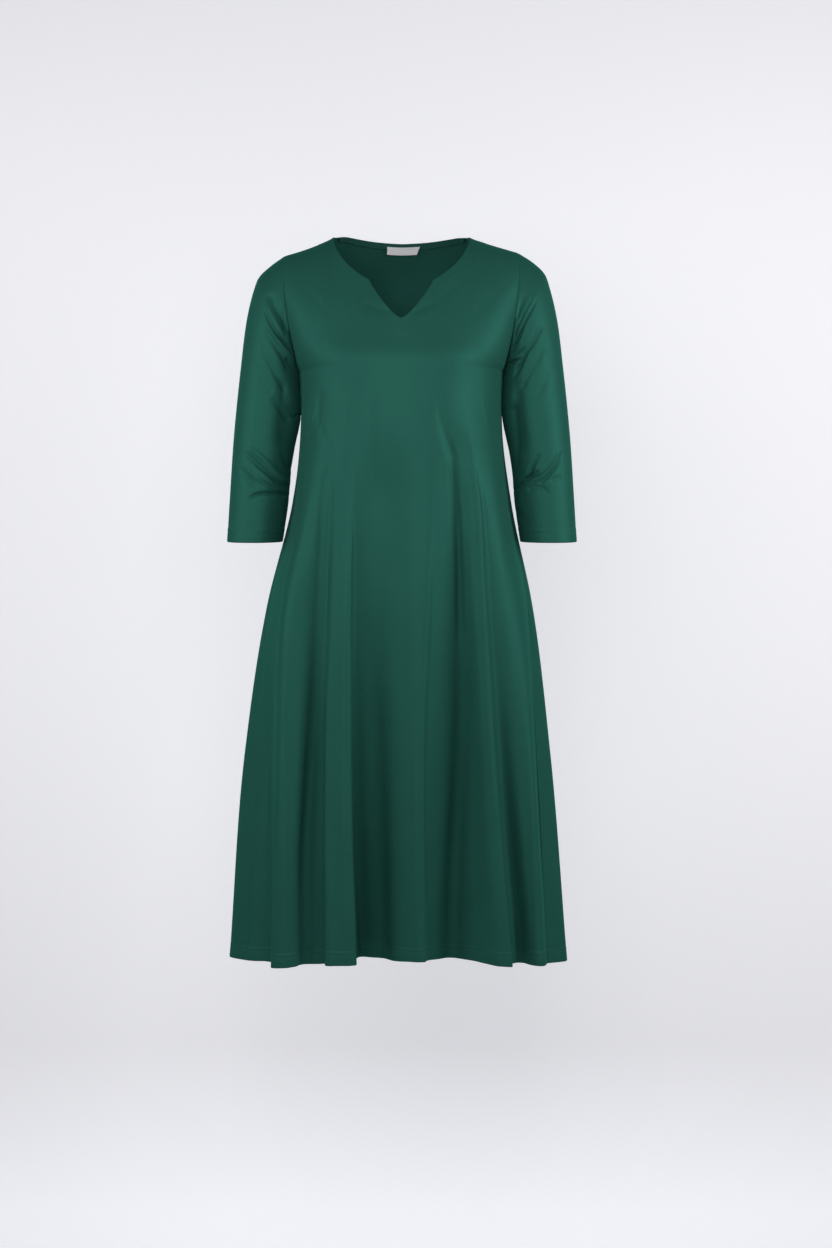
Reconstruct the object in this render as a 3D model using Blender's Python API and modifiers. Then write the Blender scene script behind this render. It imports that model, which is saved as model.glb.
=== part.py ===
"""A-line midi dress in firm knit: front, back, two three-quarter sleeves, neck tape and label.

The dress keeps the hollow shape it has when it is worn. Metres, +Z up, the front faces -Y,
the wearer's left is +X. The origin is midway between the shoulders, level with the high
shoulder points, where the wearer holds the dress up.

Each panel is one sheet of cloth skinned through sections. From the waist down a section is a
smooth curve through its fold lines; above the waist it is a plain round section, and from the
chest up the sheet runs on to the shoulder seam, the armhole and the neckline.
"""
import math

import bpy
from mathutils import Vector

MM = 0.001
CLOTH = 1.5 * MM            # wall of the knit
SEAM_GAP = 0.3 * MM         # space between neighbouring pieces
SEAM_EASE = 0.4 * MM        # more space outside, where the cloth turns over a seam
STRIP = 3.0 * MM            # narrow strip of the mesh along each seam
TAPE_WALL = 1.0 * MM
LABEL_WALL = 0.6 * MM

# ---------------------------------------------------------------- heights below the shoulders
CHEST_Z = -0.205            # the underarm points
BUST_Z = -0.265
WAIST_Z = -0.399
HIP_Z = -0.549
THIGH_Z = -0.779
HEM_Z = -1.0785             # at the centre; the hem drops a little towards the sides
HEM_DROP = 0.0100           # drop at HEM_SPAN from the centre
HEM_SPAN = 0.255
HEM_TILT = 0.0035           # and this much more on the wearer's left, less on the right

# ---------------------------------------------------------------- shoulders, neck and armholes
SHOULDER_TIP = Vector((0.1760, -0.004, -0.0262))
NECK_POINT = Vector((0.1020, -0.005, -0.0005))
SHOULDER_SPAN = SHOULDER_TIP.x - NECK_POINT.x
SHOULDER_DROP = NECK_POINT.z - SHOULDER_TIP.z
SHOULDER_TILT = 0.0022      # the wearer's left tip sits this much higher, the right lower
SHOULDER_SAG = {-1: 0.0021, 1: 0.0005}      # dip of the right and of the left shoulder line
NECK_RISE = 0.0200          # rise of the line across the neck, at the middle
NECK_HUMP = {-1: 0.0042, 1: 0.0026}         # rise behind the right and the left neck point
HUMP_OUTSIDE = 0.106        # where the hump starts
HUMP_TOP = 0.080            # and where it is highest
HUMP_FALL = 1.3             # how fast it fades towards the middle
NECK_SHARE = (1.0 - NECK_POINT.x / SHOULDER_TIP.x) / 2    # share of a panel's width
NOTCH = Vector((0.0475, -0.0755))       # corner between the neckline and the split, x and z
SPLIT_END = Vector((0.0, -0.1360))
NECK_LEAVES = Vector((-0.002, -0.100))      # way of the neckline at the neck point
NOTCH_MEETS = Vector((-0.078, -0.047))      # its way at the notch
NOTCH_LEAVES = Vector((-0.038, -0.082))     # way of the split at the notch
SPLIT_MEETS = Vector((-0.024, 0.0))         # its way at the lowest point
BACK_NECK_DEPTH = 0.071     # how far the back neckline curves behind the neck points
UNDERARM_X = 0.1545
UNDERARM_Y = -0.002
ARMHOLE_FRONT = 0.053       # how far the armhole's front half curves forward
ARMHOLE_BACK = 0.060
ARMHOLE_BULGE = 0.0060      # how far both halves stand out from the straight line
ARMHOLE_REACH = 0.38        # share of the width over which the armhole's curve fades out

# How the cloth leaves the shoulder line, for each metre on to the chest: at the tip and at
# the middle, where the line runs on across the neck.
FRONT_LEAVES = (Vector((0.0, -0.76, -0.24)), Vector((0.0, -0.42, -0.42)))
BACK_LEAVES = (Vector((0.0, 0.95, 0.27)), Vector((0.0, 1.32, 0.42)))

# ---------------------------------------------------------------- plain round sections
# height, half width, depth in front of the sides, depth behind them
ROUND_SECTIONS = (
    ("chest", CHEST_Z, UNDERARM_X, 0.1215, 0.1010),
    ("bust", BUST_Z, 0.1515, 0.1270, 0.0960),
)
FRONT_ROUNDNESS = 2.35      # 2 is an ellipse, more is fuller
BACK_ROUNDNESS = 2.6

# ---------------------------------------------------------------- fold lines, in mm
# Each row is one line down the skirt: its x and its depth (in front for the front panel,
# behind for the back panel) at the waist, the hip, the thigh and the hem. An edge is the
# sharp side of a fold, and the line after or before it is where the cloth turns back behind.
FOLD_LEVELS = (WAIST_Z, HIP_Z, THIGH_Z, HEM_Z)
SIDE_SEAM_R = ((-164, 5), (-198, 18), (-217, 36), (-230, 50))
SIDE_SEAM_L = ((165, 5), (190, 18), (203, 34), (218, 52))
FRONT_FOLDS = (
    ("side seam r", *SIDE_SEAM_R),
    ("side dip", (-156, 44), (-188, 52), (-204, 62), (-209, 66)),
    ("fold a root", (-149, 68), (-179, 80), (-190, 82), (-185, 80)),
    ("fold a edge", (-142, 88), (-171, 102), (-182, 115), (-188, 129)),
    ("fold a crest", (-133, 99), (-161, 112), (-171, 124), (-174, 135)),
    ("fold a fall", (-123, 104), (-143, 110), (-153, 114), (-152, 126)),
    ("valley b", (-111, 106), (-123, 104), (-132, 98), (-130, 109)),
    ("fold c root", (-104, 108), (-108, 106), (-112, 98), (-107, 107)),
    ("fold c edge", (-98, 112), (-104, 114), (-109, 114), (-110, 124)),
    ("flat band", (-84, 118), (-89, 123), (-91, 124), (-87, 130)),
    ("fold d edge", (-70, 120), (-73, 123), (-73, 123), (-65, 126)),
    ("fold d root", (-63, 118), (-69, 111), (-75, 93), (-74, 73)),
    ("valley d", (-51, 116), (-58, 107), (-62, 84), (-58, 57)),
    ("valley floor", (-28, 115), (-31, 106), (-33, 84), (-29, 63)),
    ("fold e rise", (-7, 118), (-9, 113), (-10, 100), (-10, 91)),
    ("fold e crest", (15, 123), (13, 122), (12, 112), (13, 99)),
    ("fold e edge", (41, 124), (39, 122), (36, 112), (38, 100)),
    ("fold e root", (53, 120), (48, 114), (44, 100), (47, 83)),
    ("valley f", (77, 110), (84, 98), (88, 80), (81, 63)),
    ("fold g foot", (92, 112), (98, 103), (110, 90), (105, 75)),
    ("fold g rise", (102, 116), (111, 115), (124, 108), (126, 100)),
    ("fold g edge", (111, 118), (121, 121), (134, 117), (162, 115)),
    ("fold g root", (117, 115), (126, 111), (137, 100), (159, 87)),
    ("valley g", (126, 110), (135, 106), (148, 90), (176, 77)),
    ("fold h crest", (141, 96), (157, 96), (172, 90), (194, 86)),
    ("fold h edge", (152, 69), (176, 76), (192, 82), (209, 84)),
    ("side seam l", *SIDE_SEAM_L),
)
BACK_FOLDS = (
    ("side seam r", *((x, -depth) for x, depth in SIDE_SEAM_R)),
    ("side turn r", (-165, 6), (-202, 2), (-237, -3), (-259, -8)),
    ("side back r", (-161, 32), (-194, 34), (-228, 30), (-251, 28)),
    ("valley r", (-145, 62), (-172, 72), (-194, 70), (-211, 62)),
    ("fold p", (-120, 80), (-143, 98), (-167, 112), (-186, 126)),
    ("valley q", (-88, 88), (-101, 101), (-114, 99), (-124, 92)),
    ("fold r", (-58, 92), (-64, 111), (-72, 129), (-78, 150)),
    ("valley s", (-21, 92), (-23, 106), (-26, 105), (-27, 100)),
    ("fold t", (18, 92), (21, 112), (24, 131), (27, 153)),
    ("valley u", (55, 91), (62, 104), (70, 103), (76, 97)),
    ("fold v", (88, 87), (101, 105), (117, 121), (132, 139)),
    ("valley w", (118, 78), (137, 90), (155, 88), (168, 78)),
    ("fold x", (143, 61), (163, 76), (184, 86), (203, 94)),
    ("side back l", (161, 32), (187, 38), (213, 38), (238, 36)),
    ("side turn l", (166, 6), (197, 3), (225, -2), (250, -5)),
    ("side seam l", *((x, -depth) for x, depth in SIDE_SEAM_L)),
)

# ---------------------------------------------------------------- sleeves
# place, outer x, outer z, its lift on the left, inner x, inner z, half depth front, half depth
# back, middle y
SLEEVE_SECTIONS = (
    ("armhole", 0.1760, -0.0262, 0.0022, 0.1545, -0.2050, 0.053, 0.060, -0.003),
    ("cap", 0.1975, -0.0440, 0.0050, 0.1566, -0.2085, 0.054, 0.060, -0.003),
    ("cap side", 0.2145, -0.0605, 0.0045, 0.1566, -0.2130, 0.055, 0.059, -0.004),
    ("cap end", 0.2220, -0.0780, 0.0020, 0.1560, -0.2190, 0.055, 0.057, -0.004),
    ("upper arm", 0.2332, -0.1240, 0.0, 0.1541, -0.2380, 0.053, 0.054, -0.005),
    ("biceps", 0.2427, -0.2000, 0.0, 0.1527, -0.2680, 0.050, 0.051, -0.006),
    ("elbow", 0.2526, -0.3000, 0.0, 0.1650, -0.3400, 0.047, 0.048, -0.008),
    ("forearm", 0.2580, -0.3850, 0.0, 0.1710, -0.4050, 0.045, 0.046, -0.011),
    ("cuff", 0.2622, -0.4590, 0.0, 0.1790, -0.4590, 0.043, 0.044, -0.014),
)
SLEEVE_START = 0.75 * MM    # the sleeve's own edge, this far out from the armhole seam line
LEFT_SLEEVE_FULLNESS = 0.0015   # the wearer's left sleeve stands out this much further
SLEEVE_ROUNDNESS = 2.15
CUFF_DIP = 0.0035           # the cuff hangs lower in front than behind

# ---------------------------------------------------------------- neck tape and label
TAPE_SHARE = 0.052          # height of the tape, as a share of the way to the chest
TAPE_INSET = 0.012          # from the neck points, as a share of the panel's width
LABEL_LEFT = -0.0227        # its ends, a little to the wearer's left of the middle
LABEL_RIGHT = 0.0283
LABEL_SLANT = 0.0050        # the lower edge ends this much earlier on the wearer's left
LABEL_HEIGHT = 0.0145
LABEL_DROP = 0.0055         # below the back neckline

# ---------------------------------------------------------------- mesh sizes
FRONT_SPACING = 0.0170      # widest spacing of columns at the hem
BACK_SPACING = 0.0200
UPPER_ROWS = (0.0, 0.016, 0.052, 0.12, 0.24, 0.38, 0.53, 0.69, 0.85, 1.0)
ROWS_PER_LEVEL = (2, 3, 3, 4, 5)
SLEEVE_SIDES = 20
SLEEVE_RINGS = (2, 1, 2, 2, 2, 3, 3, 2)
SHORT_STRIP = 0.4           # share of the first ring's width, where that is under two strips
LABEL_COLUMNS = 8
DEEPEST_NECK = 0.9          # no neckline is further down its column than this share
HALVINGS = 30               # steps in finding a place on the neckline
NORMAL_STEP = 0.004         # shares of the panel over which its direction is taken

# ---------------------------------------------------------------- colours
GREEN = (0.024, 0.105, 0.082)
TAPE_GREEN = (0.020, 0.085, 0.066)
LABEL_GREY = (0.72, 0.73, 0.72)
CLOTH_ROUGHNESS = 0.6


def mirrored(point, side):
    """The point on the wearer's left (side 1) or right (side -1)."""
    return Vector((point.x * side, point.y, point.z))


def hermite(start, end, leave, arrive, share):
    """Cubic curve from start to end with the given speeds at its ends."""
    s2, s3 = share * share, share ** 3
    return (start * (2 * s3 - 3 * s2 + 1) + leave * (s3 - 2 * s2 + share)
            + end * (3 * s2 - 2 * s3) + arrive * (s3 - s2))


def smoothstep(share):
    share = min(1.0, max(0.0, share))
    return share * share * (3.0 - 2.0 * share)


def through(points, index, share):
    """Centripetal spline through points, at a share of the way from one to the next."""
    p1, p2 = points[index], points[index + 1]
    p0 = points[index - 1] if index > 0 else p1 * 2 - p2
    p3 = points[index + 2] if index + 2 < len(points) else p2 * 2 - p1
    k1 = math.sqrt((p1 - p0).length)
    k2 = k1 + math.sqrt((p2 - p1).length)
    k3 = k2 + math.sqrt((p3 - p2).length)
    span = k2 - k1
    leave = ((p1 - p0) / k1 - (p2 - p0) / k2 + (p2 - p1) / span) * span
    arrive = ((p2 - p1) / span - (p3 - p1) / (k3 - k1) + (p3 - p2) / (k3 - k2)) * span
    return hermite(p1, p2, leave, arrive, share)


def chord_shares(points):
    """Each point's share of the way along the line through all of them."""
    lengths = [(b - a).length for a, b in zip(points, points[1:])]
    total = sum(lengths)
    return [sum(lengths[:k]) / total for k in range(len(points))]


def along(points, share):
    """The point at a share of the length of a polyline."""
    shares = chord_shares(points)
    for k in range(len(points) - 1):
        if share <= shares[k + 1] or k == len(points) - 2:
            part = (share - shares[k]) / (shares[k + 1] - shares[k])
            return points[k].lerp(points[k + 1], part)


def fold_points(folds, level, facing):
    """Control points of one fold level, facing -1 for the front panel and 1 for the back."""
    points = []
    for row in folds:
        x, depth = row[1 + level]
        x *= MM
        z = FOLD_LEVELS[level]
        if z == HEM_Z:
            z -= HEM_DROP * (x / HEM_SPAN) ** 2 + HEM_TILT * (x / HEM_SPAN) ** 3
        points.append(Vector((x, facing * depth * MM, z)))
    return points


def round_section(section, facing, roundness, steps=48):
    """Half of a plain round section, from the wearer's right side to the left."""
    _, height, half_width, front, back = section
    depth = front if facing < 0 else back
    points = []
    for k in range(steps + 1):
        angle = math.pi * k / steps
        x = -half_width * math.copysign(abs(math.cos(angle)) ** (2 / roundness), math.cos(angle))
        y = UNDERARM_Y + facing * depth * math.sin(angle) ** (2 / roundness)
        points.append(Vector((x, y, height)))
    return points


def armhole(side, facing, share):
    """Seam line of the armhole, from the shoulder tip (0) to the underarm (1)."""
    tip = mirrored(SHOULDER_TIP, side) + Vector((0.0, 0.0, SHOULDER_TILT * side))
    under = Vector((UNDERARM_X * side, UNDERARM_Y, CHEST_Z))
    angle = math.pi * share
    middle = (tip + under) / 2
    reach = ARMHOLE_FRONT if facing < 0 else ARMHOLE_BACK
    point = middle + (tip - middle) * math.cos(angle)
    point.y += facing * reach * math.sin(angle)
    point.x += side * ARMHOLE_BULGE * math.sin(angle) ** 2
    return point


def shoulder_line(share):
    """The line over both shoulders, run on smoothly across the neck."""
    x = SHOULDER_TIP.x * (2.0 * share - 1.0)
    side, far = (-1 if x < 0.0 else 1), abs(x)
    if far >= NECK_POINT.x:
        out = (far - NECK_POINT.x) / SHOULDER_SPAN
        z = (SHOULDER_TILT * side - SHOULDER_DROP) * out - SHOULDER_SAG[side] * 4 * out * (1 - out)
    else:
        z = NECK_RISE * (1.0 - (x / NECK_POINT.x) ** 2)
    hump = smoothstep((HUMP_OUTSIDE - far) / (HUMP_OUTSIDE - HUMP_TOP))
    z += NECK_HUMP[side] * (far / HUMP_TOP) ** HUMP_FALL * hump
    return Vector((x, NECK_POINT.y, NECK_POINT.z + z))


def front_neckline(steps=24):
    """Half of the front neckline in x and z: an arc to the notch, then the split's curve."""
    neck = Vector((NECK_POINT.x, NECK_POINT.z))
    arc = [hermite(neck, NOTCH, NECK_LEAVES, NOTCH_MEETS, k / steps) for k in range(steps)]
    split = [hermite(NOTCH, SPLIT_END, NOTCH_LEAVES, SPLIT_MEETS, k / steps)
             for k in range(steps + 1)]
    return arc + split


def below_front_neckline(point):
    """True where a point of the front lies below its neckline."""
    x = abs(point.x)
    for right, left in zip(NECKLINE, NECKLINE[1:]):
        if left.x <= x <= right.x:
            share = (right.x - x) / (right.x - left.x)
            return point.z < right.y + (left.y - right.y) * share
    return True


def behind_back_neckline(point):
    """True where a point of the back lies behind its neckline, half an ellipse."""
    x = abs(point.x) / NECK_POINT.x
    return x >= 1.0 or point.y > NECK_POINT.y + BACK_NECK_DEPTH * math.sqrt(1.0 - x * x)


class Panel:
    """The front (facing -1) or the back (facing 1) of the dress, as one curved sheet."""

    def __init__(self, folds, facing, roundness, leaves, outside_neck):
        self.facing = facing
        self.leaves = leaves
        self.outside_neck = outside_neck
        self.rounds = [round_section(row, facing, roundness) for row in ROUND_SECTIONS]
        self.levels = [fold_points(folds, k, facing) for k in range(len(FOLD_LEVELS))]
        self.shares = chord_shares(self.levels[0])

    def columns(self, spacing, corners):
        """Shares of the width for the mesh's columns, closer where the hem is fuller."""
        hem = self.levels[-1]
        places = []
        fixed = []
        for k in range(len(hem) - 1):
            count = max(1, math.ceil((hem[k + 1] - hem[k]).length / spacing))
            start, end = self.shares[k], self.shares[k + 1]
            fixed.append(start)
            places += [start + (end - start) * j / count for j in range(count)]
        places.append(1.0)
        for corner in corners:
            free = [k for k in range(1, len(places) - 1) if places[k] not in fixed]
            nearest = min(free, key=lambda k: abs(places[k] - corner))
            places[nearest] = corner
            fixed.append(corner)
        waist = (self.levels[0][1] - self.levels[0][0]).length / self.shares[1]
        strip = STRIP / waist
        return sorted(places + [strip, 1.0 - strip])

    def stations(self, share):
        """The column's points on the plain sections and on every fold level."""
        points = [along(section, share) for section in self.rounds]
        index = max(k for k in range(len(self.shares) - 1) if self.shares[k] <= share)
        width = self.shares[index + 1] - self.shares[index]
        part = (share - self.shares[index]) / width
        points += [through(level, index, part) for level in self.levels]
        return points

    def free_column(self, share, part):
        """A column from the shoulder line to the chest, with nothing cut out of the cloth."""
        chest, bust = self.stations(share)[:2]
        start = shoulder_line(share)
        length = (chest - start).length
        leave = self.leaves[0].lerp(self.leaves[1], smoothstep(2 * min(share, 1 - share)))
        arrive = (bust - chest).normalized()
        return hermite(start, chest, leave * length, arrive * length, part)

    def cover(self, share, part):
        """The same with its sides drawn to the armholes: the sheet the neck is cut from."""
        side = -1 if share < 0.5 else 1
        edge = 0.0 if side < 0 else 1.0
        weight = 1.0 - smoothstep(min(share, 1.0 - share) / ARMHOLE_REACH)
        shift = armhole(side, self.facing, part) - self.free_column(edge, part)
        return self.free_column(share, part) + shift * weight

    def neck_part(self, share):
        """How far down its column the neckline is: nothing on the shoulders."""
        if not NECK_SHARE < share < 1.0 - NECK_SHARE:
            return 0.0
        above, below = 0.0, DEEPEST_NECK
        for _ in range(HALVINGS):
            middle = (above + below) / 2
            if self.outside_neck(self.cover(share, middle)):
                below = middle
            else:
                above = middle
        return below

    def upper(self, share, part):
        """A point above the chest, a part of the way down from the top edge."""
        start = self.neck_part(share)
        return self.cover(share, start + (1.0 - start) * part)

    def share_at(self, x):
        """The share of the width whose column starts at x on the neckline."""
        left, right = NECK_SHARE, 1.0 - NECK_SHARE
        for _ in range(HALVINGS):
            middle = (left + right) / 2
            if self.upper(middle, 0.0).x < x:
                left = middle
            else:
                right = middle
        return left

    def lower(self, share, level, part):
        """A point below the chest, part of the way from one level to the next."""
        points = self.stations(share)
        slopes = [(points[1] - points[0]) / (points[0].z - points[1].z)]
        for above, here, below in zip(points, points[1:], points[2:]):
            high, low = above.z - here.z, here.z - below.z
            slopes.append(((here - above) / high * low + (below - here) / low * high) / (high + low))
        slopes.append((points[-1] - points[-2]) / (points[-2].z - points[-1].z))
        drop = points[level].z - points[level + 1].z
        return hermite(points[level], points[level + 1],
                       slopes[level] * drop, slopes[level + 1] * drop, part)

    def grid(self, places):
        """Rows of points from the top edge to the hem."""
        rows = [[self.upper(share, part) for share in places] for part in UPPER_ROWS[:-1]]
        for level, count in enumerate(ROWS_PER_LEVEL):
            for j in range(count):
                rows.append([self.lower(share, level, j / count) for share in places])
        rows.append([self.stations(share)[-1] for share in places])
        return self.seamed(places, rows)

    def seamed(self, places, rows):
        """Moves the shoulder and side edges off their seam lines by half a gap."""
        half = (SEAM_GAP + SEAM_EASE) / 2
        for k, share in enumerate(places):
            if not NECK_SHARE < share < 1.0 - NECK_SHARE:
                rows[0][k] = rows[0][k] + (rows[1][k] - rows[0][k]).normalized() * half
        for row in rows:
            row[0] = row[0] + (row[1] - row[0]).normalized() * half
            row[-1] = row[-1] + (row[-2] - row[-1]).normalized() * half
        return rows

    def normal(self, share, part):
        """Outward direction of the sheet above the chest."""
        across = self.upper(share + NORMAL_STEP, part) - self.upper(share - NORMAL_STEP, part)
        down = self.upper(share, part + NORMAL_STEP) - self.upper(share, part)
        return across.cross(down).normalized() * self.facing


def cloth_material(name, color):
    """Plain dull cloth, one material for each piece."""
    material = bpy.data.materials.new(name)
    material.use_nodes = True
    shader = material.node_tree.nodes["Principled BSDF"]
    shader.inputs["Base Color"].default_value = (*color, 1.0)
    shader.inputs["Roughness"].default_value = CLOTH_ROUGHNESS
    shader.inputs["Metallic"].default_value = 0.0
    return material


def add_sheet(name, rows, material, wall, flip=False, closed=False):
    """An open sheet through rows of points, thickened inwards into a wall."""
    width = len(rows[0])
    points = [point for row in rows for point in row]
    faces = []
    for r in range(len(rows) - 1):
        for c in range(width if closed else width - 1):
            n = (c + 1) % width
            face = (r * width + c, (r + 1) * width + c, (r + 1) * width + n, r * width + n)
            faces.append(face[::-1] if flip else face)
    mesh = bpy.data.meshes.new(name)
    mesh.from_pydata(points, [], faces)
    mesh.materials.append(material)
    mesh.shade_smooth()
    piece = bpy.data.objects.new(name, mesh)
    dress.objects.link(piece)
    shell = piece.modifiers.new("wall", 'SOLIDIFY')
    shell.thickness = wall
    shell.offset = -1.0
    shell.use_even_offset = True
    return piece


def sleeve_point(row, side, angle):
    """A point of a sleeve section: angle 0 is the outer side, a quarter turn the front."""
    _, outer_x, outer_z, lift, inner_x, inner_z, front, back, middle = row
    fullness = LEFT_SLEEVE_FULLNESS if side > 0 and outer_x > SHOULDER_TIP.x else 0.0
    rise = lift if side > 0 else 0.0
    outer = Vector(((outer_x + fullness) * side, middle, outer_z + rise))
    inner = Vector((inner_x * side, middle, inner_z))
    centre = (outer + inner) / 2
    cosine, sine = math.cos(angle), math.sin(angle)
    power = 2 / SLEEVE_ROUNDNESS
    point = centre + (outer - centre) * math.copysign(abs(cosine) ** power, cosine)
    depth = -front if sine > 0 else back
    point.y += depth * abs(sine) ** power
    return point


def add_sleeve(name, side, material):
    """A sleeve from its armhole to its cuff, a tube through rings."""
    angles = [2 * math.pi * k / SLEEVE_SIDES for k in range(SLEEVE_SIDES)]
    sections = [[sleeve_point(row, side, angle) for angle in angles] for row in SLEEVE_SECTIONS]
    sections[0] = [armhole_ring_point(side, angle) for angle in angles]
    for k, angle in enumerate(angles):
        sections[-1][k].z -= CUFF_DIP * math.sin(angle)
    rings = []
    for index, count in enumerate(SLEEVE_RINGS):
        for j in range(count):
            rings.append([through([section[k] for section in sections], index, j / count)
                          for k in range(SLEEVE_SIDES)])
    rings.append(sections[-1])
    strip = [start.lerp(end, STRIP / (end - start).length) if (end - start).length > 2 * STRIP
             else start.lerp(end, SHORT_STRIP) for start, end in zip(rings[0], rings[1])]
    rings.insert(1, strip)
    return add_sheet(name, rings, material, CLOTH, flip=side > 0, closed=True)


def armhole_ring_point(side, angle):
    """A point of the sleeve's first ring, just outside the armhole seam line."""
    facing = -1 if math.sin(angle) > 0 else 1
    turn = angle if angle <= math.pi else 2 * math.pi - angle
    point = armhole(side, facing, turn / math.pi)
    point.x += side * SLEEVE_START
    return point


def add_tape(back, places, material):
    """The band inside the back neckline, just inside the back panel."""
    shares = [s for s in places if NECK_SHARE + TAPE_INSET <= s <= 1.0 - NECK_SHARE - TAPE_INSET]
    rows = []
    for part in (0.0, TAPE_SHARE / 3, TAPE_SHARE):
        row = []
        for share in shares:
            inside = back.normal(share, part) * (CLOTH + SEAM_GAP)
            row.append(back.upper(share, part) - inside)
        rows.append(row)
    return add_sheet("back_neck_tape", rows, material, TAPE_WALL, flip=True)


def add_label(back, material):
    """The blank label at the middle of the tape, sewn down over it."""
    length = (back.stations(0.5)[0] - back.upper(0.5, 0.0)).length
    left, right = back.share_at(LABEL_LEFT), back.share_at(LABEL_RIGHT)
    slant = right - back.share_at(LABEL_RIGHT - LABEL_SLANT)
    rows = []
    for down in (0.0, 0.5, 1.0):
        part = (LABEL_DROP + LABEL_HEIGHT * down) / length
        row = []
        for k in range(LABEL_COLUMNS + 1):
            share = left + (right - slant * down - left) * k / LABEL_COLUMNS
            inside = back.normal(share, part) * (CLOTH + TAPE_WALL + 3 * SEAM_GAP)
            row.append(back.upper(share, part) - inside)
        rows.append(row)
    return add_sheet("neck_label", rows, material, LABEL_WALL, flip=True)


for old in list(bpy.data.objects):
    bpy.data.objects.remove(old, do_unlink=True)

NECKLINE = front_neckline()

dress = bpy.data.collections.new("a_line_dress")
bpy.context.scene.collection.children.link(dress)

front = Panel(FRONT_FOLDS, -1, FRONT_ROUNDNESS, FRONT_LEAVES, below_front_neckline)
back = Panel(BACK_FOLDS, 1, BACK_ROUNDNESS, BACK_LEAVES, behind_back_neckline)
notch_share = front.share_at(-NOTCH.x)
front_places = front.columns(FRONT_SPACING, (NECK_SHARE, notch_share, 0.5,
                                             1 - notch_share, 1 - NECK_SHARE))
back_places = back.columns(BACK_SPACING, (NECK_SHARE, 0.5, 1 - NECK_SHARE))
add_sheet("front_panel", front.grid(front_places), cloth_material("front knit", GREEN), CLOTH)
add_sheet("back_panel", back.grid(back_places), cloth_material("back knit", GREEN), CLOTH,
          flip=True)
add_sleeve("sleeve_right", -1, cloth_material("right sleeve knit", GREEN))
add_sleeve("sleeve_left", 1, cloth_material("left sleeve knit", GREEN))
add_tape(back, back_places, cloth_material("tape knit", TAPE_GREEN))
add_label(back, cloth_material("label weave", LABEL_GREY))
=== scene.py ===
import math

import bpy
import numpy as np
from mathutils import Euler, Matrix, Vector


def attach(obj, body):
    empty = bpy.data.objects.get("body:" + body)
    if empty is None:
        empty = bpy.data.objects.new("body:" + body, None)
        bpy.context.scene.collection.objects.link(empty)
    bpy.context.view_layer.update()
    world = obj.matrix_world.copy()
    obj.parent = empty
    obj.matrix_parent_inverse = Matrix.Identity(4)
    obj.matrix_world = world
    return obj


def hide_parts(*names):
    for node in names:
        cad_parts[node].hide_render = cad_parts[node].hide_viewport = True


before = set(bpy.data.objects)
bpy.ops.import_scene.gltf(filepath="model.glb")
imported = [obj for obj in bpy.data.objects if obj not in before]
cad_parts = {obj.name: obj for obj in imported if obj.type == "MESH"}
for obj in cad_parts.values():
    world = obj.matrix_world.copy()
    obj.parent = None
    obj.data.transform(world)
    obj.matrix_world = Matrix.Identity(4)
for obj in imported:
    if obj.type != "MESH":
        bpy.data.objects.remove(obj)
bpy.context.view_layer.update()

# ============================================================ the front panel
# The front of the dress is one piece of firm double knit, cut flared from shoulder to hem with
# no waist seam or dart. Its neckline is cut wide, with a notch on each side of a short split,
# and faced. From the waist down the flare falls in soft folds with a few sharp edges.
MM = 0.001
KNIT = 1.2 * MM                    # wall of the cloth
EDGE_ROWS = 3                      # rows of points round a cut or folded edge
HEM_FOLD = 22 * MM                 # height of the turned hem, where the cloth is double
HEM_LAYER = 1.1 * MM               # what its second layer adds to the wall
HEM_STEP = 0.35 * MM               # how far that layer lifts the face
STITCH_ROWS = (14 * MM, 20 * MM)   # the two rows of the twin needle, above the edge
STITCH_DENT = 0.30 * MM            # how far they pull the face in
SEAM_ROLL = 1.0 * MM               # how far the cloth turns in along a seam
SEAM_SOFT = 1.7 * MM               # and over which distance
ARMHOLE_ROLL = 0.4                 # share of that roll round the armholes
NECK_ROLL, NECK_SOFT = 0.5 * MM, 1.2 * MM      # the same two at the neck's edge
HEM_PUCKER = 0.16 * MM             # height of the puckers along the stitches

CHEST_Z, BUST_Z = -0.205, -0.265
WAIST_Z, HIP_Z, THIGH_Z, HEM_Z = -0.399, -0.549, -0.779, -1.0785
HEM_DROP, HEM_SPAN, HEM_TILT = 0.0100, 0.255, 0.0035
SHOULDER_TIP = np.array((0.1760, -0.004, -0.0262))
NECK_POINT = np.array((0.1020, -0.005, -0.0005))
SHOULDER_SPAN = SHOULDER_TIP[0] - NECK_POINT[0]
SHOULDER_SLOPE = (NECK_POINT[2] - SHOULDER_TIP[2]) / SHOULDER_SPAN
SHOULDER_TILT = 2.2 * MM           # rise of the wearer's left shoulder and fall of the right
SHOULDER_SAG = (2.1 * MM, 0.5 * MM)    # dip of the right and of the left shoulder line
NECK_RISE = 20.0 * MM              # rise of the line across the neck, at the middle
NECK_HUMP = (4.2 * MM, 2.6 * MM)       # rise behind the right and behind the left neck point
HUMP_OUTSIDE, HUMP_TOP = 0.106, 0.080  # where the hump starts and where it is highest
NECK_SHARE = (1.0 - NECK_POINT[0] / SHOULDER_TIP[0]) / 2
NOTCH = np.array((0.0475, -0.0755))
SPLIT_END = np.array((0.0, -0.1360))
UNDERARM_X, UNDERARM_Y = 0.1545, -0.002
ARMHOLE_REACH = 0.38               # share of the width over which the armhole draws the cloth
ROUND_STEPS = 96                   # steps round the plain sections at the chest and the bust

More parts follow.
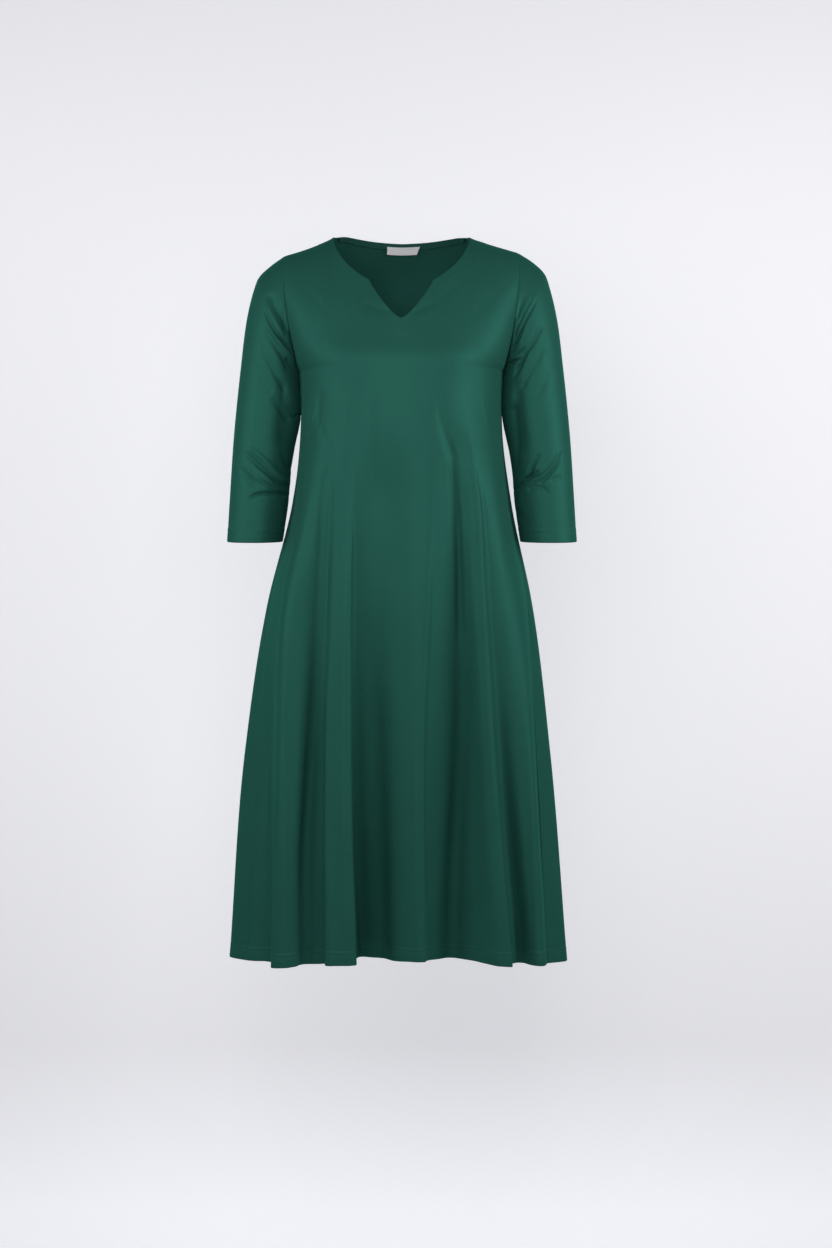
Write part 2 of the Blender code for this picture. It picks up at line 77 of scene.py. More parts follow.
# x and depth in front of the side line, in mm, at the waist, the hip, the thigh and the hem
SIDE_SEAM_R = ((-164, 5), (-198, 18), (-217, 36), (-230, 50))
SIDE_SEAM_L = ((165, 5), (190, 18), (203, 34), (218, 52))
FRONT_FOLDS = (
    ("side seam r", *SIDE_SEAM_R),
    ("side dip", (-156, 44), (-188, 52), (-204, 62), (-209, 66)),
    ("fold a root", (-149, 68), (-179, 80), (-190, 82), (-185, 80)),
    ("fold a edge", (-142, 88), (-171, 102), (-182, 115), (-188, 129)),
    ("fold a crest", (-133, 99), (-161, 112), (-171, 124), (-174, 135)),
    ("fold a fall", (-123, 104), (-143, 110), (-153, 114), (-152, 126)),
    ("valley b", (-111, 106), (-123, 104), (-132, 98), (-130, 109)),
    ("fold c root", (-104, 108), (-108, 106), (-112, 98), (-107, 107)),
    ("fold c edge", (-98, 112), (-104, 114), (-109, 114), (-110, 124)),
    ("flat band", (-84, 118), (-89, 123), (-91, 124), (-87, 130)),
    ("fold d edge", (-70, 120), (-73, 123), (-73, 123), (-65, 126)),
    ("fold d root", (-63, 118), (-69, 111), (-75, 93), (-74, 73)),
    ("valley d", (-51, 116), (-58, 107), (-62, 84), (-58, 57)),
    ("valley floor", (-28, 115), (-31, 106), (-33, 84), (-29, 63)),
    ("fold e rise", (-7, 118), (-9, 113), (-10, 100), (-10, 91)),
    ("fold e crest", (15, 123), (13, 122), (12, 112), (13, 99)),
    ("fold e edge", (41, 124), (39, 122), (36, 112), (38, 100)),
    ("fold e root", (53, 120), (48, 114), (44, 100), (47, 83)),
    ("valley f", (77, 110), (84, 98), (88, 80), (81, 63)),
    ("fold g foot", (92, 112), (98, 103), (110, 90), (105, 75)),
    ("fold g rise", (102, 116), (111, 115), (124, 108), (126, 100)),
    ("fold g edge", (111, 118), (121, 121), (134, 117), (162, 115)),
    ("fold g root", (117, 115), (126, 111), (137, 100), (159, 87)),
    ("valley g", (126, 110), (135, 106), (148, 90), (176, 77)),
    ("fold h crest", (141, 96), (157, 96), (172, 90), (194, 86)),
    ("fold h edge", (152, 69), (176, 76), (192, 82), (209, 84)),
    ("side seam l", *SIDE_SEAM_L),
)


def hermite(start, end, leave, arrive, share):
    """Cubic curve from start to end with the given speeds at its ends."""
    s2, s3 = share * share, share ** 3
    return (start * (2 * s3 - 3 * s2 + 1) + leave * (s3 - 2 * s2 + share)
            + end * (3 * s2 - 2 * s3) + arrive * (s3 - s2))


def smooth(share):
    share = np.clip(share, 0.0, 1.0)
    return share * share * (3.0 - 2.0 * share)


def length(vectors):
    return np.sqrt((vectors * vectors).sum(-1, keepdims=True))


def through(points, index, share):
    """Centripetal spline through points, at shares of the way from each index to the next."""
    first, last = 2 * points[0] - points[1], 2 * points[-1] - points[-2]
    p = np.concatenate(([first], points, [last]))
    p0, p1, p2, p3 = p[index], p[index + 1], p[index + 2], p[index + 3]
    k1 = np.sqrt(length(p1 - p0))
    k2 = k1 + np.sqrt(length(p2 - p1))
    k3 = k2 + np.sqrt(length(p3 - p2))
    span = k2 - k1
    leave = ((p1 - p0) / k1 - (p2 - p0) / k2 + (p2 - p1) / span) * span
    arrive = ((p2 - p1) / span - (p3 - p1) / (k3 - k1) + (p3 - p2) / (k3 - k2)) * span
    return hermite(p1, p2, leave, arrive, share)


def along(points):
    """Distance of each point from the first, along the line through them."""
    return np.concatenate(([0.0], np.cumsum(length(np.diff(points, axis=0))[:, 0])))


def on_line(places, run, line):
    """Points of a line at the given places along it, where run holds the places of its points."""
    return np.stack([np.interp(places, run, line[:, k]) for k in range(3)], -1)


def armhole(side, facing, part):
    """Seam line of the armhole, from the shoulder tip (0) to the underarm (1)."""
    tip = SHOULDER_TIP * (side, 1, 1) + (0, 0, SHOULDER_TILT * side)
    under = np.array((UNDERARM_X * side, UNDERARM_Y, CHEST_Z))
    angle = math.pi * part
    point = (tip + under) / 2 + (tip - under) / 2 * np.cos(angle)
    bulge = (0, facing * (0.053 if facing < 0 else 0.060), 0)
    return point + np.sin(angle) * bulge + np.sin(angle) ** 2 * (side * 0.006, 0, 0)


def shoulder_height(x):
    """Height of the line over both shoulders, run on smoothly across the neck."""
    side, far = np.sign(x), np.abs(x)
    out = np.maximum(far - NECK_POINT[0], 0) / SHOULDER_SPAN
    rise = NECK_RISE * (1 - (x / NECK_POINT[0]) ** 2)
    slope = np.where(out > 0, -SHOULDER_SLOPE * SHOULDER_SPAN * out, rise)
    sag = np.where(side < 0, *SHOULDER_SAG) * 4 * out * (1 - out)
    hump = (np.where(side < 0, *NECK_HUMP) * (far / HUMP_TOP) ** 1.3
            * smooth((HUMP_OUTSIDE - far) / (HUMP_OUTSIDE - HUMP_TOP)))
    return NECK_POINT[2] + slope + SHOULDER_TILT * side * out - sag + hump


class Panel:
    """The front (facing -1) or the back (facing 1) as one curved sheet of cloth."""

    def __init__(self, folds, facing, roundness, leaves, depths, outside_neck):
        self.facing, self.leaves, self.outside_neck = facing, leaves, outside_neck
        angle = math.pi * np.arange(ROUND_STEPS + 1) / ROUND_STEPS
        self.rounds = []
        for z, half_width, depth in depths:
            x = -half_width * np.copysign(np.abs(np.cos(angle)) ** (2 / roundness), np.cos(angle))
            y = UNDERARM_Y + facing * depth * np.sin(angle) ** (2 / roundness)
            self.rounds.append(np.stack((x, y, np.full(len(x), z)), 1))
        self.levels = []
        for k, z in enumerate((WAIST_Z, HIP_Z, THIGH_Z, HEM_Z)):
            x, depth = np.array([row[1 + k] for row in folds]).T * MM
            low = HEM_DROP * (x / HEM_SPAN) ** 2 + HEM_TILT * (x / HEM_SPAN) ** 3
            self.levels.append(np.stack((x, facing * depth, z - low * (z == HEM_Z)), 1))
        self.shares = along(self.levels[0]) / along(self.levels[0])[-1]

    def columns(self, count, corners, edge):
        """Shares of the width: even along the hem and the waist, close at the seams."""
        steps = along(self.levels[-1]) / along(self.levels[-1])[-1] * 0.7 + self.shares * 0.3
        shares = np.interp(np.linspace(0, 1, count), steps, self.shares)
        for corner in corners:
            shares[np.argmin(np.abs(shares - corner))] = corner
        near = np.array(edge) / along(self.levels[1])[-1]
        inner = shares[(shares > near[-1] * 1.4) & (shares < 1 - near[-1] * 1.4)]
        return np.concatenate(([0.0], near, inner, 1 - near[::-1], [1.0]))

    def stations(self, share):
        """Each column's points on the plain sections and on every fold level."""
        found = [on_line(share, along(line) / along(line)[-1], line) for line in self.rounds]
        index = np.clip(np.searchsorted(self.shares, share, side="right") - 1, 0,
                        len(self.shares) - 2)
        part = (share - self.shares[index]) / (self.shares[index + 1] - self.shares[index])
        found += [through(line, index, part[:, None]) for line in self.levels]
        return np.array(found)

    def free_column(self, share, part):
        """Columns from the shoulder line to the chest, with nothing cut out of the cloth."""
        x = SHOULDER_TIP[0] * (2 * share - 1)
        start = np.stack((x, np.full(len(x), NECK_POINT[1]), shoulder_height(x)), 1)
        chest, bust = self.stations(share)[:2]
        reach = length(chest - start)
        weight = smooth(2 * np.minimum(share, 1 - share))[:, None]
        leave = self.leaves[0] + (self.leaves[1] - self.leaves[0]) * weight
        arrive = (bust - chest) / length(bust - chest)
        return hermite(start, chest, leave * reach, arrive * reach, part[:, None])

    def cover(self, share, part):
        """The same with its sides drawn to the armholes: the sheet the neck is cut from."""
        side = np.where(share < 0.5, -1.0, 1.0)[:, None]
        edge = np.where(share < 0.5, 0.0, 1.0)
        seam = np.where(side < 0, armhole(-1, self.facing, part[:, None]),
                        armhole(1, self.facing, part[:, None]))
        weight = 1 - smooth(np.minimum(share, 1 - share) / ARMHOLE_REACH)[:, None]
        return self.free_column(share, part) + (seam - self.free_column(edge, part)) * weight

    def neck_part(self, share):
        """How far down its column the neckline is: nothing on the shoulders."""
        above, below = np.zeros(len(share)), np.full(len(share), 0.9)
        for _ in range(26):
            middle = (above + below) / 2
            outside = self.outside_neck(self.cover(share, middle))
            above, below = np.where(outside, above, middle), np.where(outside, middle, below)
        return np.where((share > NECK_SHARE) & (share < 1 - NECK_SHARE), below, 0.0)

    def share_at(self, x):
        """The share of the width whose column starts at x on the neckline."""
        share = np.linspace(NECK_SHARE, 1 - NECK_SHARE, 800)
        return np.interp(x, self.cover(share, self.neck_part(share))[:, 0], share)

    def grid(self, share, upper, lower, hem):
        """Rows of points from the top edge to the hem, the last ones given above the edge."""
        start = self.neck_part(share)
        rows = [self.cover(share, start + (1 - start) * part) for part in upper[:-1]]
        points = self.stations(share)
        drops = -np.diff(points[..., 2], axis=0)[..., None]
        chords = np.diff(points, axis=0) / drops
        inner = (chords[:-1] * drops[1:] + chords[1:] * drops[:-1]) / (drops[:-1] + drops[1:])
        slopes = np.concatenate((chords[:1], inner, chords[-1:]))
        for level, count in enumerate(lower):
            parts = np.arange(count) / count
            if level == len(lower) - 1:
                fall = HEM_Z - THIGH_Z
                parts = np.concatenate((parts[parts < 1 + hem[0] * 1.15 / fall],
                                        [1 + above / fall for above in hem]))
            for part in parts:
                rows.append(hermite(points[level], points[level + 1], slopes[level] * drops[level],
                                    slopes[level + 1] * drops[level], part))
        return np.array(rows)


def outward(grid, closed=False):
    """Unit normals of a grid of points whose rows go down and whose columns go to +X in front."""
    if closed:
        wide = np.concatenate((grid[:, -1:], grid, grid[:, :1]), 1)
        across = wide[:, 2:] - wide[:, :-2]
    else:
        across = np.gradient(grid, axis=1)
    normal = np.cross(np.gradient(grid, axis=0), across)
    return normal / np.maximum(length(normal), 1e-12)


def edge_distance(grid):
    """Distance of each point from the first and from the last point of its row."""
    steps = length(np.diff(grid, axis=1))[..., 0]
    run = np.concatenate((np.zeros((len(grid), 1)), np.cumsum(steps, axis=1)), axis=1)
    return run, run[:, -1:] - run


def sewn(name, outer, wall, normal, closed=False):
    """A closed mesh of cloth: outer face, rounded edges at top and bottom, and inner face."""
    rows, width = outer.shape[:2]
    inner = outer - normal * np.broadcast_to(wall, (rows, width))[..., None]
    rounds = []
    for row, before in ((-1, -2), (0, 1)):
        away = outer[row] - outer[before]
        away /= length(away)
        middle, half = (outer[row] + inner[row]) / 2, (outer[row] - inner[row]) / 2
        rounds.append([middle + half * math.cos(t) + away * length(half) * math.sin(t)
                       for t in math.pi * np.arange(1, EDGE_ROWS + 1) / (EDGE_ROWS + 1)])
    loop = np.concatenate((outer, rounds[0], inner[::-1], rounds[1][::-1]))
    index = np.arange(len(loop) * width).reshape(-1, width)
    wide = np.concatenate((index, index[:, :1]), 1) if closed else index
    down = np.concatenate((wide, wide[:1]))
    corners = (down[1:, :-1], down[1:, 1:], down[:-1, 1:], down[:-1, :-1])
    faces = np.stack(corners, -1).reshape(-1, 4).tolist()
    if not closed:
        for column, turn in ((0, 1), (width - 1, -1)):
            edge = index[:, column].tolist()
            for r in range(rows - 1):
                far = 2 * rows + EDGE_ROWS - 1 - r
                faces.append([edge[r], edge[r + 1], edge[far - 1], edge[far]][::-turn])
            faces.append(edge[rows - 1:rows + EDGE_ROWS + 1][::-turn])
            faces.append((edge[2 * rows + EDGE_ROWS - 1:] + edge[:1])[::-turn])
    mesh = bpy.data.meshes.new(name)
    mesh.from_pydata(loop.reshape(-1, 3).tolist(), [], faces)
    mesh.shade_smooth()
    return bpy.data.objects.new(name, mesh)


def lay_out(piece, across, down):
    """Writes where each point lies in the flat cloth, in metres, for the knit's pattern."""
    place = np.stack((across, down, np.zeros(across.shape)), -1).reshape(-1, 3)
    found = piece.data.attributes.new("cloth", 'FLOAT_VECTOR', 'POINT')
    found.data.foreach_set("vector", place.astype(np.float32).ravel())


def wrapped(values):
    """Values on the outer face, carried round the edges to the inner face."""
    lower, upper = [np.repeat(row, EDGE_ROWS, axis=0) for row in (values[-1:], values[:1])]
    return np.concatenate((values, lower, values[::-1], upper))


def front_neckline():
    """Half of the front neckline in x and z: an arc to the notch, then the split's curve."""
    share = np.arange(41)[:, None] / 40
    neck = NECK_POINT[[0, 2]]
    arc = hermite(neck, NOTCH, np.array((-0.002, -0.100)), np.array((-0.078, -0.047)), share)
    split = hermite(NOTCH, SPLIT_END, np.array((-0.038, -0.082)), np.array((-0.024, 0.0)), share)
    return np.concatenate((arc[:-1], split))


def below_front_neckline(point):
    """True where a point of the front lies below its neckline."""
    line = front_neckline()[::-1]
    x = np.abs(point[:, 0])
    return (point[:, 2] < np.interp(x, line[:, 0], line[:, 1])) | (x > line[-1, 0])


def near_line(place, line):
    """Distance from a line, share of the way along it, and which side of it, for each place."""
    starts, steps = line[:-1], np.diff(line, axis=0)
    sizes = (steps * steps).sum(-1)
    run = along(line) / along(line)[-1]
    best = np.full(place.shape[:-1], 1e9)
    share, side = np.zeros(best.shape), np.ones(best.shape)
    for start, step, size, k in zip(starts, steps, sizes, range(len(steps))):
        off = place - start
        t = np.clip((off * step).sum(-1) / size, 0, 1)
        gap = off - t[..., None] * step
        distance = np.sqrt((gap * gap).sum(-1))
        closer = distance < best
        best = np.where(closer, distance, best)
        share = np.where(closer, run[k] + (run[k + 1] - run[k]) * t, share)
        side = np.where(closer, np.sign(step[0] * off[..., 1] - step[1] * off[..., 0]), side)
    return best, share, side


CREASE_STEPS, CREASE_ENDS = 6, 0.14    # steps between two points, and share that fades at an end


def creases(place, table):
    """Height added by creases. A row holds the points of a line as x, z and rise, then its width
    to the left and to the right of the line as it goes down, all in mm."""
    height = np.zeros(place.shape[:-1])
    for _, line, left, right in table:
        points = np.array(line, float) * MM
        index = np.repeat(np.arange(len(points) - 1), CREASE_STEPS)
        share = np.tile(np.arange(CREASE_STEPS) / CREASE_STEPS, len(points) - 1)[:, None]
        fine = np.concatenate((through(points, index, share), points[-1:]))
        distance, run, side = near_line(place, fine[:, :2])
        width = np.where(side > 0, right, left) * MM
        rise = np.interp(run, along(fine[:, :2]) / along(fine[:, :2])[-1], fine[:, 2])
        ends = smooth(np.minimum(run, 1 - run) / CREASE_ENDS)
        height += rise * ends * np.exp(-(distance / width) ** 2)
    return height


EDGE_COLUMNS = (0.0007, 0.0014, 0.0022, 0.0032, 0.0048, 0.0070)    # how far from a side seam
front = Panel(FRONT_FOLDS, -1, 2.35, np.array(((0, -0.76, -0.24), (0, -0.42, -0.42))),
              ((CHEST_Z, UNDERARM_X, 0.1215), (BUST_Z, 0.1515, 0.1270)), below_front_neckline)
notch_share = front.share_at(-NOTCH[0])
neck_corners = (NECK_SHARE, notch_share, 0.5, 1 - notch_share, 1 - NECK_SHARE)
front_shares = front.columns(214, neck_corners, EDGE_COLUMNS)
UPPER = np.concatenate(((0, 0.004, 0.008, 0.013, 0.02, 0.03, 0.043), np.linspace(0.06, 1, 52)))
LOWER = (15, 30, 26, 30, 34)
HEM_ROWS = np.array((24, 22.6, 22, 21.4, 20.6, 20, 19.4, 18.4, 17, 15.8, 14.8, 14, 13.2, 12, 9.5,
                     6.5, 3.5, 1.4, 0)) * MM
front_grid = front.grid(front_shares, UPPER, LOWER, HEM_ROWS)


def down_from_top(grid):
    """Distance of each point from the first point of its column."""
    steps = length(np.diff(grid, axis=0))[..., 0]
    return np.concatenate((np.zeros((1, grid.shape[1])), np.cumsum(steps, axis=0)))


def turned_hem(above):
    """Height of the face and wall of the cloth, by the distance above the lower edge."""
    rows = sum(np.exp(-((above - row) / (1.0 * MM)) ** 2) for row in STITCH_ROWS)
    face = HEM_STEP * smooth((HEM_FOLD - above) / (3 * MM)) - STITCH_DENT * rows
    return face, KNIT + HEM_LAYER * smooth((HEM_FOLD - above) / (0.9 * MM))


def finish_panel(panel, grid, share, extra):
    """Adds what sewing does to a panel: rolled seams, turned hem, neck edge and creases."""
    normal = outward(grid) * -panel.facing
    place = grid[..., [0, 2]]
    left, right = edge_distance(grid)
    seam = np.exp(-(np.minimum(left, right) / SEAM_SOFT) ** 2)
    seam = seam * (1 - (1 - ARMHOLE_ROLL) * smooth((place[..., 1] - CHEST_Z) / 0.012 + 1))
    top = down_from_top(grid)
    on_shoulder = ((share <= NECK_SHARE + 1e-9) | (share >= 1 - NECK_SHARE - 1e-9))[None, :]
    shoulder = np.where(on_shoulder, np.exp(-(top / SEAM_SOFT) ** 2), 0.0)
    neck = np.where(on_shoulder, 0.0, np.exp(-(top / NECK_SOFT) ** 2))
    above = top[-1:] - top
    hem, wall = turned_hem(above)
    pucker = np.sin(left / (9 * MM)) + 0.7 * np.sin(left / (5.7 * MM) + 2.0)
    pucker = pucker * np.exp(-((above - 15 * MM) / (9 * MM)) ** 2)
    height = (extra(place) - SEAM_ROLL * np.maximum(seam, shoulder) - NECK_ROLL * neck
              + hem + HEM_PUCKER * pucker)
    outer = grid + normal * height[..., None]
    return outer, wall, outward(outer) * -panel.facing, left, top


FRONT_CREASES = (
    ("top of the bust", ((-158, -182, 0.5), (-116, -190, 3.2), (-72, -195, 5.2), (0, -196, 4.2),
        (74, -195, 5.2), (116, -190, 3.2), (158, -180, 0.5)), 28, 28),
    ("from the split, right side", ((-58, -110, -0.5), (-44, -117, -1.2), (-22, -125, -1.1),
        (-13, -128, -0.5)), 5, 5),
    ("from the split, left side", ((59, -107, -0.5), (45, -114, -1.2), (23, -125, -1.1),
        (15, -128, -0.5)), 5, 5),
    ("streak beside the notch", ((43, -94, 0.3), (65, -78, 0.8), (88, -59, 0.4)), 3, 3),
    ("from the right armhole", ((-144, -87, -0.5), (-126, -107, -1.1), (-103, -131, -0.5)), 5, 5),
    ("from the left armhole", ((142, -90, -0.4), (124, -110, -1), (103, -134, -0.4)), 5, 5),
    ("from the right shoulder", ((-112, -44, -0.3), (-76, -82, -0.8), (-43, -121, -0.4)), 8, 8),
    ("from the left shoulder", ((114, -44, -0.3), (81, -81, -0.8), (51, -115, -0.4)), 8, 8),
    ("streak 1, trough", ((-116, -229, -0.5), (-121, -258, -1.2), (-119, -294, -1.4),
        (-103, -334, -1), (-99, -348, -0.6)), 5, 5),
    ("streak 2, ridge", ((-134, -234, 0.8), (-138, -265, 2.2), (-142, -301, 2.8),
        (-145, -338, 2.8), (-149, -400, 2.2), (-155, -460, 0.8)), 8, 7),
    ("streak 3, ridge", ((-74, -236, 0.5), (-77, -272, 1.2), (-80, -316, 1.2), (-86, -360, 0.5)),
        7, 7),
    ("streak 4, trough", ((-42, -233, -0.5), (-45, -272, -1.3), (-45, -323, -1.5),
        (-42, -374, -1.2), (-42, -433, -0.5)), 9, 9),
    ("streak 5, trough", ((52, -234, -0.5), (55, -265, -1.4), (63, -301, -2.2), (71, -328, -2),
        (76, -348, -1)), 7, 6),
    ("pull line 1", ((-124, -249, 0.3), (-129, -272, 0.8), (-134, -296, 0.3)), 1.8, 1.8),
    ("pull line 2", ((-114, -272, 0.3), (-118, -288, 0.8), (-124, -309, 0.3)), 1.8, 1.8),
    ("pull line 3", ((119, -249, 0.3), (127, -283, 0.6), (134, -316, 0.3)), 2.2, 2.2),
    ("trough b", ((-98, -336, -0.5), (-108, -360, -1.4), (-114, -389, -1.8), (-118, -462, -1.8),
        (-122, -534, -1.2), (-127, -607, -0.5)), 5, 5),
    ("ridge c", ((-93, -342, 0.4), (-95, -389, 1), (-96, -462, 1.2), (-99, -534, 0.8),
        (-102, -607, 0.4)), 2.6, 3),
    ("edge d", ((-67, -392, -0.4), (-68, -418, -1.2), (-70, -491, -1.6), (-71, -578, -1.4),
        (-71, -666, -0.5)), 1.6, 3.4),
    ("trough f", ((67, -293, -0.6), (76, -336, -3.2), (78, -370, -4.6), (82, -430, -5),
        (86, -542, -4), (87, -636, -1)), 6, 5),
    ("ridge g", ((92, -325, 0.5), (102, -351, 1.3), (108, -370, 1.6), (114, -415, 1.6),
        (121, -542, 1.2), (127, -636, 0.5)), 4.5, 3.2),
    ("flank of ridge g", ((92, -340, 0.8), (99, -420, 2.4), (109, -549, 4.6), (116, -640, 5.6),
        (121, -720, 6.2), (127, -811, 6.4), (134, -928, 6.4), (141, -1030, 5.6),
        (147, -1188, 5.6)), 12, 8),
    ("right of ridge g", ((112, -366, -0.6), (121, -415, -1.6), (128, -491, -1.8),
        (133, -578, -1.4), (137, -666, -0.5)), 2.2, 5),
    ("dent near the right side", ((-207, -866, -0.3), (-198, -865, -0.9), (-189, -867, -0.3)),
        1.6, 1.6),
    ("side dip, right", ((-190, -560, -1), (-195, -640, -2.5), (-200, -782, -5.5),
        (-204, -928, -8), (-207, -1030, -6.5), (-208, -1180, -6.5)), 9, 9),
    ("edge at the left side", ((186, -520, -0.4), (190, -560, -1.2), (198, -755, -1.6),
        (206, -872, -1.2), (214, -1000, -0.4)), 2.5, 3.2),
    ("crest a", ((-159, -491, 0.4), (-169, -607, 1.2), (-173, -782, 1.8), (-170, -928, 2.4),
        (-166, -1030, 2), (-163, -1191, 2)), 7, 5),
    ("trough b, below", ((-122, -534, -0.8), (-126, -695, -4.4), (-132, -811, -9),
        (-138, -928, -12.5), (-138, -1030, -11), (-136, -1191, -11)), 11, 9),
    ("crest c, below", ((-103, -607, 0.4), (-108, -695, 1.4), (-108, -811, 2.2), (-108, -928, 2.6),
        (-106, -1030, 2), (-105, -1191, 2)), 3, 6),
    ("crest d", ((-79, -462, 0.5), (-81, -607, 1.2), (-83, -811, 1.8), (-80, -928, 2),
        (-76, -1044, 1.4), (-74, -1191, 1.4)), 8, 4),
    ("foot of edge d", ((-65, -403, -0.8), (-66, -549, -2.8), (-67, -695, -5.2), (-67, -811, -7.2),
        (-65, -928, -8), (-61, -1030, -6.5), (-59, -1185, -6.5)), 2.6, 11),
    ("crest e", ((25, -607, 0.4), (23, -753, 1.4), (23, -928, 2.2), (25, -1030, 1.8),
        (26, -1185, 1.8)), 8, 4),
    ("foot of edge e", ((37, -549, -0.4), (38, -695, -3), (38, -811, -5.4), (39, -928, -6.8),
        (40, -1030, -5.4), (41, -1183, -5.4)), 3, 14),
    ("trough f, below", ((89, -607, -1.4), (90, -695, -4), (86, -811, -7), (79, -928, -9),
        (74, -1030, -8), (71, -1180, -8)), 14, 12),
    ("crest g, below", ((124, -549, 0.6), (130, -695, 1.4), (137, -811, 1.8), (146, -928, 2),
        (154, -1030, 2), (160, -1188, 2)), 5, 3),
    ("foot of edge g", ((133, -542, -0.8), (141, -695, -3.6), (150, -811, -6), (161, -928, -8),
        (170, -1030, -7), (176, -1185, -7)), 2.6, 11),
    ("crest h", ((184, -607, 0.4), (191, -753, 1.2), (197, -928, 1.8), (202, -1139, 1.8)), 6, 4),
)


FACING_WIDTH, FACING_STEP = 27 * MM, 0.35 * MM
LIP_SOFT, LIP_HEIGHT = 5 * MM, 0.8 * MM        # the neck's edge stands up a little
BELOW_SPLIT = -0.18


def front_extra(place):
    """The facing shows as a faint step, and the split pulls soft creases into the chest."""
    half = front_neckline()
    line = np.concatenate((half, (half * (-1, 1))[-2::-1]))
    distance, _, _ = near_line(place, line)
    facing = FACING_STEP * smooth((FACING_WIDTH - distance) / (3 * MM))
    lip = LIP_HEIGHT * np.exp(-(distance / LIP_SOFT) ** 2)
    return (facing + lip) * (place[..., 1] > BELOW_SPLIT) + creases(place, FRONT_CREASES)


front_outer, front_wall, front_normal, front_across, front_down = finish_panel(
    front, front_grid, front_shares, front_extra)
front_panel = sewn("dress_front", front_outer, front_wall, front_normal)
lay_out(front_panel, wrapped(front_across), wrapped(front_down))


class Value:
    """A number that varies over the surface. Arithmetic on it adds Math nodes."""

    def __init__(self, finish, socket):
        self.finish, self.socket = finish, socket

    def math(self, operation, *values):
        node = self.finish.add('ShaderNodeMath', {"operation": operation},
                               {k: v for k, v in enumerate(values)})
        return Value(self.finish, node.outputs[0])

    def __add__(self, other):
        return self.math('ADD', self, other)

    def __mul__(self, other):
        return self.math('MULTIPLY', self, other)

    def __sub__(self, other):
        return self.math('SUBTRACT', self, other)

    def __rsub__(self, other):
        return self.math('SUBTRACT', other, self)

    __radd__, __rmul__ = __add__, __mul__


class Finish:
    """A material under way, with its one Principled shader."""

    def __init__(self, name, **values):
        self.material = bpy.data.materials.new(name)
        self.material.use_nodes = True
        self.nodes = self.material.node_tree.nodes
        self.shader = self.nodes["Principled BSDF"]
        self.feed(self.shader, {k.replace("_", " "): v for k, v in values.items()})

    def feed(self, node, values):
        for key, value in values.items():
            socket = node.inputs[key]
            value = value.socket if isinstance(value, Value) else value
            if isinstance(value, bpy.types.NodeSocket):
                self.material.node_tree.links.new(value, socket)
            else:
                socket.default_value = value

    def add(self, kind, settings=None, values=None):
        node = self.nodes.new(kind)
        for key, value in (settings or {}).items():
            setattr(node, key, value)
        self.feed(node, values or {})
        return node

    def value(self, node, output=0):
        return Value(self, node.outputs[output])

    def mix(self, share, first, second):
        """A colour between two colours."""
        node = self.add('ShaderNodeMix', {"data_type": 'RGBA'}, {0: share, 6: first, 7: second})
        return node.outputs[2]


WALE_PITCH, COURSE_PITCH = 1.15 * MM, 0.9 * MM


def knit_finish(name, face, shadow, roughness, sheen):
    """Firm double knit: fine upright rows of stitches, a satin face and a little cloudiness."""
    cloth = Finish(name, Roughness=roughness, Sheen_Weight=sheen, Sheen_Roughness=0.35,
                   Sheen_Tint=(0.18, 0.80, 0.62, 1.0), Specular_IOR_Level=0.0, Metallic=0.2,
                   Specular_Tint=(0.25, 0.90, 0.72, 1.0))
    place = cloth.add('ShaderNodeAttribute', {"attribute_name": "cloth"}).outputs["Vector"]
    split = cloth.add('ShaderNodeSeparateXYZ', None, {0: place})
    across, down = cloth.value(split, 0), cloth.value(split, 1)
    wale = across.math('SINE', across * (2 * math.pi / WALE_PITCH))
    course = down.math('SINE', down * (2 * math.pi / COURSE_PITCH) + wale * 0.9)
    cloud = cloth.add('ShaderNodeTexNoise', None, {"Vector": place, "Scale": 14.0, "Detail": 3.0})
    slub_place = cloth.add('ShaderNodeVectorMath', {"operation": 'MULTIPLY'},
                           {0: place, 1: (6.0, 160.0, 1.0)}).outputs[0]
    slub = cloth.add('ShaderNodeTexNoise', None,
                     {"Vector": slub_place, "Scale": 1.0, "Detail": 2.0})
    blend = cloth.value(cloud) * 0.5 + cloth.value(slub) * 0.35 + wale * 0.04 + 0.08
    cloth.feed(cloth.shader, {"Base Color": cloth.mix(blend, (*shadow, 1.0), (*face, 1.0))})
    cloth.feed(cloth.shader, {"Roughness": cloth.value(cloud) * 0.10 + (roughness - 0.05)})
    height = wale * 0.5 + course * 0.35 + cloth.value(slub) * 0.8
    bump = cloth.add('ShaderNodeBump', None,
                     {"Strength": 0.18, "Distance": 0.0003, "Height": height})
    cloth.feed(cloth.shader, {"Normal": bump.outputs[0]})
    return cloth.material


GREEN_FACE, GREEN_DEEP = (0.0235, 0.118, 0.092), (0.0172, 0.094, 0.072)
knit = knit_finish("emerald knit", GREEN_FACE, GREEN_DEEP, 0.46, 0.12)


def onto_dress(piece, material, slot, *nodes):
    """Links a finished piece, in place of the solids it stands for."""
    bpy.context.collection.objects.link(piece)
    piece.data.materials.append(material)
    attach(piece, "root")
    if nodes:
        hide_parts(*nodes)


STITCH, STITCH_PITCH, THREAD = 2.3 * MM, 3.0 * MM, 0.22 * MM    # length, pitch and thread's radius
STITCH_PARTS = np.array((0.0, 0.3, 0.7, 1.0))                   # a stitch's four points along it
STITCH_ARCH = np.array((-0.12, 0.12, 0.12, -0.12)) * MM         # and their height off the cloth
THREAD_SIDES = 5
ZIGZAG_OFF = 0.10 * MM                                          # its thread's height off the inside


def stitch_row(line, up):
    """Points of the stitches along a line on the cloth, and the way off the cloth there."""
    run = along(line)
    count = int(run[-1] / STITCH_PITCH)
    starts = (np.arange(count) + 0.5) * run[-1] / count - STITCH / 2
    runs = starts[:, None] + STITCH * STITCH_PARTS
    points, ups = on_line(runs, run, line), on_line(runs, run, up)
    return points + ups * STITCH_ARCH[:, None], ups


